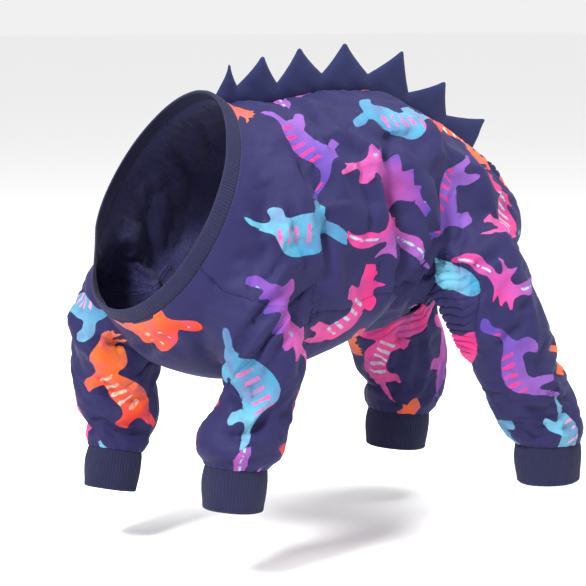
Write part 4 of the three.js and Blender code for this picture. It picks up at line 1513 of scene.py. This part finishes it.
neck_axis_drop = 45 * MM
neck_ribs = 210
neck_wall = 2.2 * MM
neck_groove = 0.7 * MM
neck_groove_reach = 1.2 * MM
neck_swell = 0.5 * MM
cloth_above_seam = 0.6 * MM
cloth_below_seam = 4.5 * MM


def ring_of_cloth(tree, depth, angle):
    """Points where rays in the neck plane, moved by depth, meet the outside of the cloth."""
    across = np.array([0.0, 1.0, 0.0])
    upward = np.cross(neck_normal, across)
    middle = neck_point + neck_normal * depth - upward * neck_axis_drop
    found = []
    for turn in angle:
        way = Vector(math.cos(turn) * upward + math.sin(turn) * across)
        hit = tree.ray_cast(Vector(middle), way)[0]
        found.append(np.array(hit) if hit is not None else np.array(middle) + 80 * MM * np.array(way))
    return np.array(found), np.array([math.cos(t) * upward + math.sin(t) * across for t in angle])


def neck_band_piece(skin_tree):
    """Doubled band of rib knit that follows the cloth of the neck edge, folded at its rim."""
    columns = neck_ribs * columns_per_rib
    angle = 2 * np.pi * np.arange(columns) / columns
    seam, ways = ring_of_cloth(skin_tree, -neck_band_width - cloth_above_seam, angle)
    inward, _ = ring_of_cloth(skin_tree, -neck_band_width - cloth_below_seam, angle)
    lean = (seam - inward) / np.linalg.norm(seam - inward, axis=1, keepdims=True)
    for _ in range(60):
        lean = (lean + np.roll(lean, 4, axis=0) + np.roll(lean, -4, axis=0)) / 3
        seam = (2 * seam + np.roll(seam, 2, axis=0) + np.roll(seam, -2, axis=0)) / 4
    lean /= np.maximum(lean @ neck_normal, 0.8)[:, None]
    wave = rib_wave(angle, neck_ribs)[:, None]
    fold_reach = neck_band_width - neck_wall / 2
    profile = [(at * fold_reach, 0.0, 1.0) for at in np.linspace(0.0, 1.0, 10)]
    for turn in np.linspace(0, math.pi, 7)[1:-1]:
        reach = fold_reach + math.sin(turn) * neck_wall / 2
        profile.append((reach, (1 - math.cos(turn)) * neck_wall / 2, math.cos(turn / 2)))
    profile += [(at * fold_reach, neck_wall, 0.5) for at in np.linspace(1.0, 0.0, 6)]
    rows = []
    for reach, inset, ribbed in profile:
        outside = inset < neck_wall / 2
        groove = neck_groove * math.exp(-(reach / neck_groove_reach) ** 2) if outside else 0
        pull = neck_swell * math.sin(math.pi * min(reach / neck_band_width, 1))
        offset = pull - inset - groove + ribbed * rib_height * wave
        rows.append(seam + lean * reach + ways * offset)
    piece = mesh_piece("rib_neck_band", np.vstack(rows), tube_grid(len(profile), columns))
    dress(piece, [rib])
    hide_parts("neck_band")


neck_band_piece(tree_of(skin_points, skin_triangles))


# Stuffed spikes along the back seam

def back_seam():
    """Points on the outside of the back along its centre, from the neck band to the tail."""
    line = []
    for centre, first, _, a, _, _, _ in body_rings(400):
        point = centre + first * a
        behind_band = (point - neck_point) @ neck_normal < -neck_band_width - 1.5 * MM
        if behind_band and point[0] > tail_seam * body_length:
            line.append(point[[0, 2]])
    line = np.array(line)
    length = np.concatenate([[0], np.cumsum(np.linalg.norm(np.diff(line, axis=0), axis=1))])
    return line, length


ridge_step = 1.25 * MM
ridge_edge_length = 0.8 * MM
ridge_rounding = 2.6 * MM
ridge_dimple = 0.25 * MM
ridge_sway = 1.6 * MM
ridge_sway_reach = 25 * MM
side_bulge = 0.8 * MM
tip_rounding = 2.2 * MM


def ridge_outline():
    line, length = back_seam()

    def lift(share, height):
        at = share * length[-1]
        point = np.array([np.interp(at, length, line[:, k]) for k in (0, 1)])
        ahead = np.array([np.interp(at + 2 * MM, length, line[:, k]) for k in (0, 1)])
        behind = np.array([np.interp(at - 2 * MM, length, line[:, k]) for k in (0, 1)])
        way = unit(ahead - behind)
        return point + height * np.array([way[1], -way[0]])

    def flank(start, end, shares):
        """Points along one side of a spike, slightly bulged by its stuffing."""
        side = unit(end - start)
        for share in shares:
            bulge = side_bulge * math.sin(math.pi * share)
            outline.append(start + (end - start) * share + bulge * np.array([-side[1], side[0]]))

    outline = []
    for start, tip, end, height in spikes:
        valley = lift(start, ridge_base)
        point = lift(tip, ridge_base + spike_height * height)
        onward = lift(end, ridge_base)
        outline.append(valley)
        flank(valley, point, (0.28, 0.55, 0.80))
        before, after = unit(valley - point), unit(onward - point)
        for share in np.linspace(0, 1, 5):
            arm = before * (1 - share) + after * share
            outline.append(point + arm * tip_rounding * (1 - 0.55 * math.sin(math.pi * share)))
        flank(point, onward, (0.20, 0.45, 0.72))
    outline.append(lift(1, ridge_base / 2))
    for share in np.linspace(1, 0, 30):
        outline.append(lift(share, -cloth_wall))
    return np.array(outline)


def ridge_piece():
    outline = ridge_outline()
    low, high = outline.min(axis=0) - 1 * MM, outline.max(axis=0) + 1 * MM
    across = np.arange(low[0], high[0] + ridge_step, ridge_step)
    upward = np.arange(low[1], high[1] + ridge_step, ridge_step)
    grid = np.stack(np.meshgrid(across, upward, indexing="ij"), axis=2).reshape(-1, 2)
    flat = np.stack([grid[:, 0], np.zeros(len(grid)), grid[:, 1]], axis=1)
    rows, columns = len(across), len(upward)
    corner = (np.arange(rows - 1)[:, None] * columns + np.arange(columns - 1)[None]).ravel()
    faces = np.vstack([
        np.stack([corner, corner + columns, corner + 1], axis=1),
        np.stack([corner + 1, corner + columns, corner + columns + 1], axis=1),
    ])
    inside = lambda spots: -outline_distance(spots[:, [0, 2]], outline)
    flat, faces = cut_line(flat, faces, inside)
    flat, faces = compact(flat, faces[side_of(flat, faces, inside)])
    flat, faces = refine(flat, faces, lambda spots: np.abs(inside(spots)) < 2.0 * MM, ridge_edge_length)
    depth = np.maximum(inside(flat), 0)
    depth[np.unique(border_edges(faces))] = 0
    line, _ = back_seam()
    spread = 1 - np.exp(-depth / ridge_rounding)
    half = ridge_thickness / 2 * (0.16 + 0.98 * spread)
    dimple = ridge_dimple * np.sin(flat[:, 0] * 310 + 1.3 * np.sin(flat[:, 2] * 260)) * spread
    root = np.array([np.min(np.linalg.norm(line - spot, axis=1)) for spot in flat[:, [0, 2]]])
    sway = ridge_sway * np.sin(flat[:, 0] * 42 + 0.6) * np.clip(root / ridge_sway_reach, 0, 1) ** 1.5
    left = flat.copy()
    right = flat.copy()
    left[:, 1] = sway + half + dimple
    right[:, 1] = sway - half + 0.7 * dimple
    faces = closed_faces(faces[:, ::-1], len(flat))
    piece = mesh_piece("padded_spine_ridge", np.vstack([left, right]), faces)
    dress(piece, [ridge_finish])
    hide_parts("spine_ridge")


ridge_piece()


# Floor, light and camera

def flat_material(name, colour):
    def build(nodes, links, shader):
        darker = tuple(c * 0.985 for c in colour)
        tone = mix_colour(nodes, links, noise(nodes, links, 3.0), colour, darker)
        links.new(tone, shader.inputs["Base Color"])
        shader.inputs["Roughness"].default_value = 0.9
    return new_material(name, build)


floor_drop = 35 * MM
floor_reach = 40.0


def floor():
    level = cad_box[0][2] - floor_drop
    reach = floor_reach
    corners = ((-reach, -reach), (reach, -reach), (reach, reach), (-reach, reach))
    points = np.array([(x, y, level) for x, y in corners])
    piece = mesh_piece("floor", points, [(0, 1, 2, 3)])
    piece.data.materials.append(flat_material("studio_floor", (0.96, 0.96, 0.965)))


def hang(name, data, position, aim):
    """Puts a lamp or a camera in the scene, turned towards aim."""
    holder = bpy.data.objects.new(name, data)
    holder.location = position
    holder.rotation_euler = (Vector(aim) - Vector(position)).to_track_quat("-Z", "Y").to_euler()
    bpy.context.scene.collection.objects.link(holder)
    return holder


def soft_light(name, position, aim, size, power):
    lamp = bpy.data.lights.new(name, "AREA")
    lamp.shape = "DISK"
    lamp.size = size
    lamp.energy = power
    hang(name, lamp, position, aim)


def studio():
    world = bpy.data.worlds.new("studio")
    bpy.context.scene.world = world
    world.use_nodes = True
    bpy.context.scene.view_settings.view_transform = "Standard"
    background = world.node_tree.nodes["Background"]
    background.inputs["Color"].default_value = (1.0, 1.0, 1.0, 1)
    background.inputs["Strength"].default_value = 0.88
    middle = (-0.04, 0.0, -0.12)
    soft_light("key", (1.45, 0.75, 1.25), middle, 0.5, 72)
    soft_light("top", (-0.3, 0.3, 1.6), middle, 0.9, 30)
    soft_light("fill", (-1.6, 1.2, 0.5), middle, 0.9, 8)


def camera():
    lens = bpy.data.cameras.new("camera")
    lens.lens = lens_length
    lens.sensor_width = sensor_width
    lens.clip_start = 0.05
    bpy.context.scene.camera = hang("camera", lens, camera_place, camera_target)


floor()
studio()
camera()
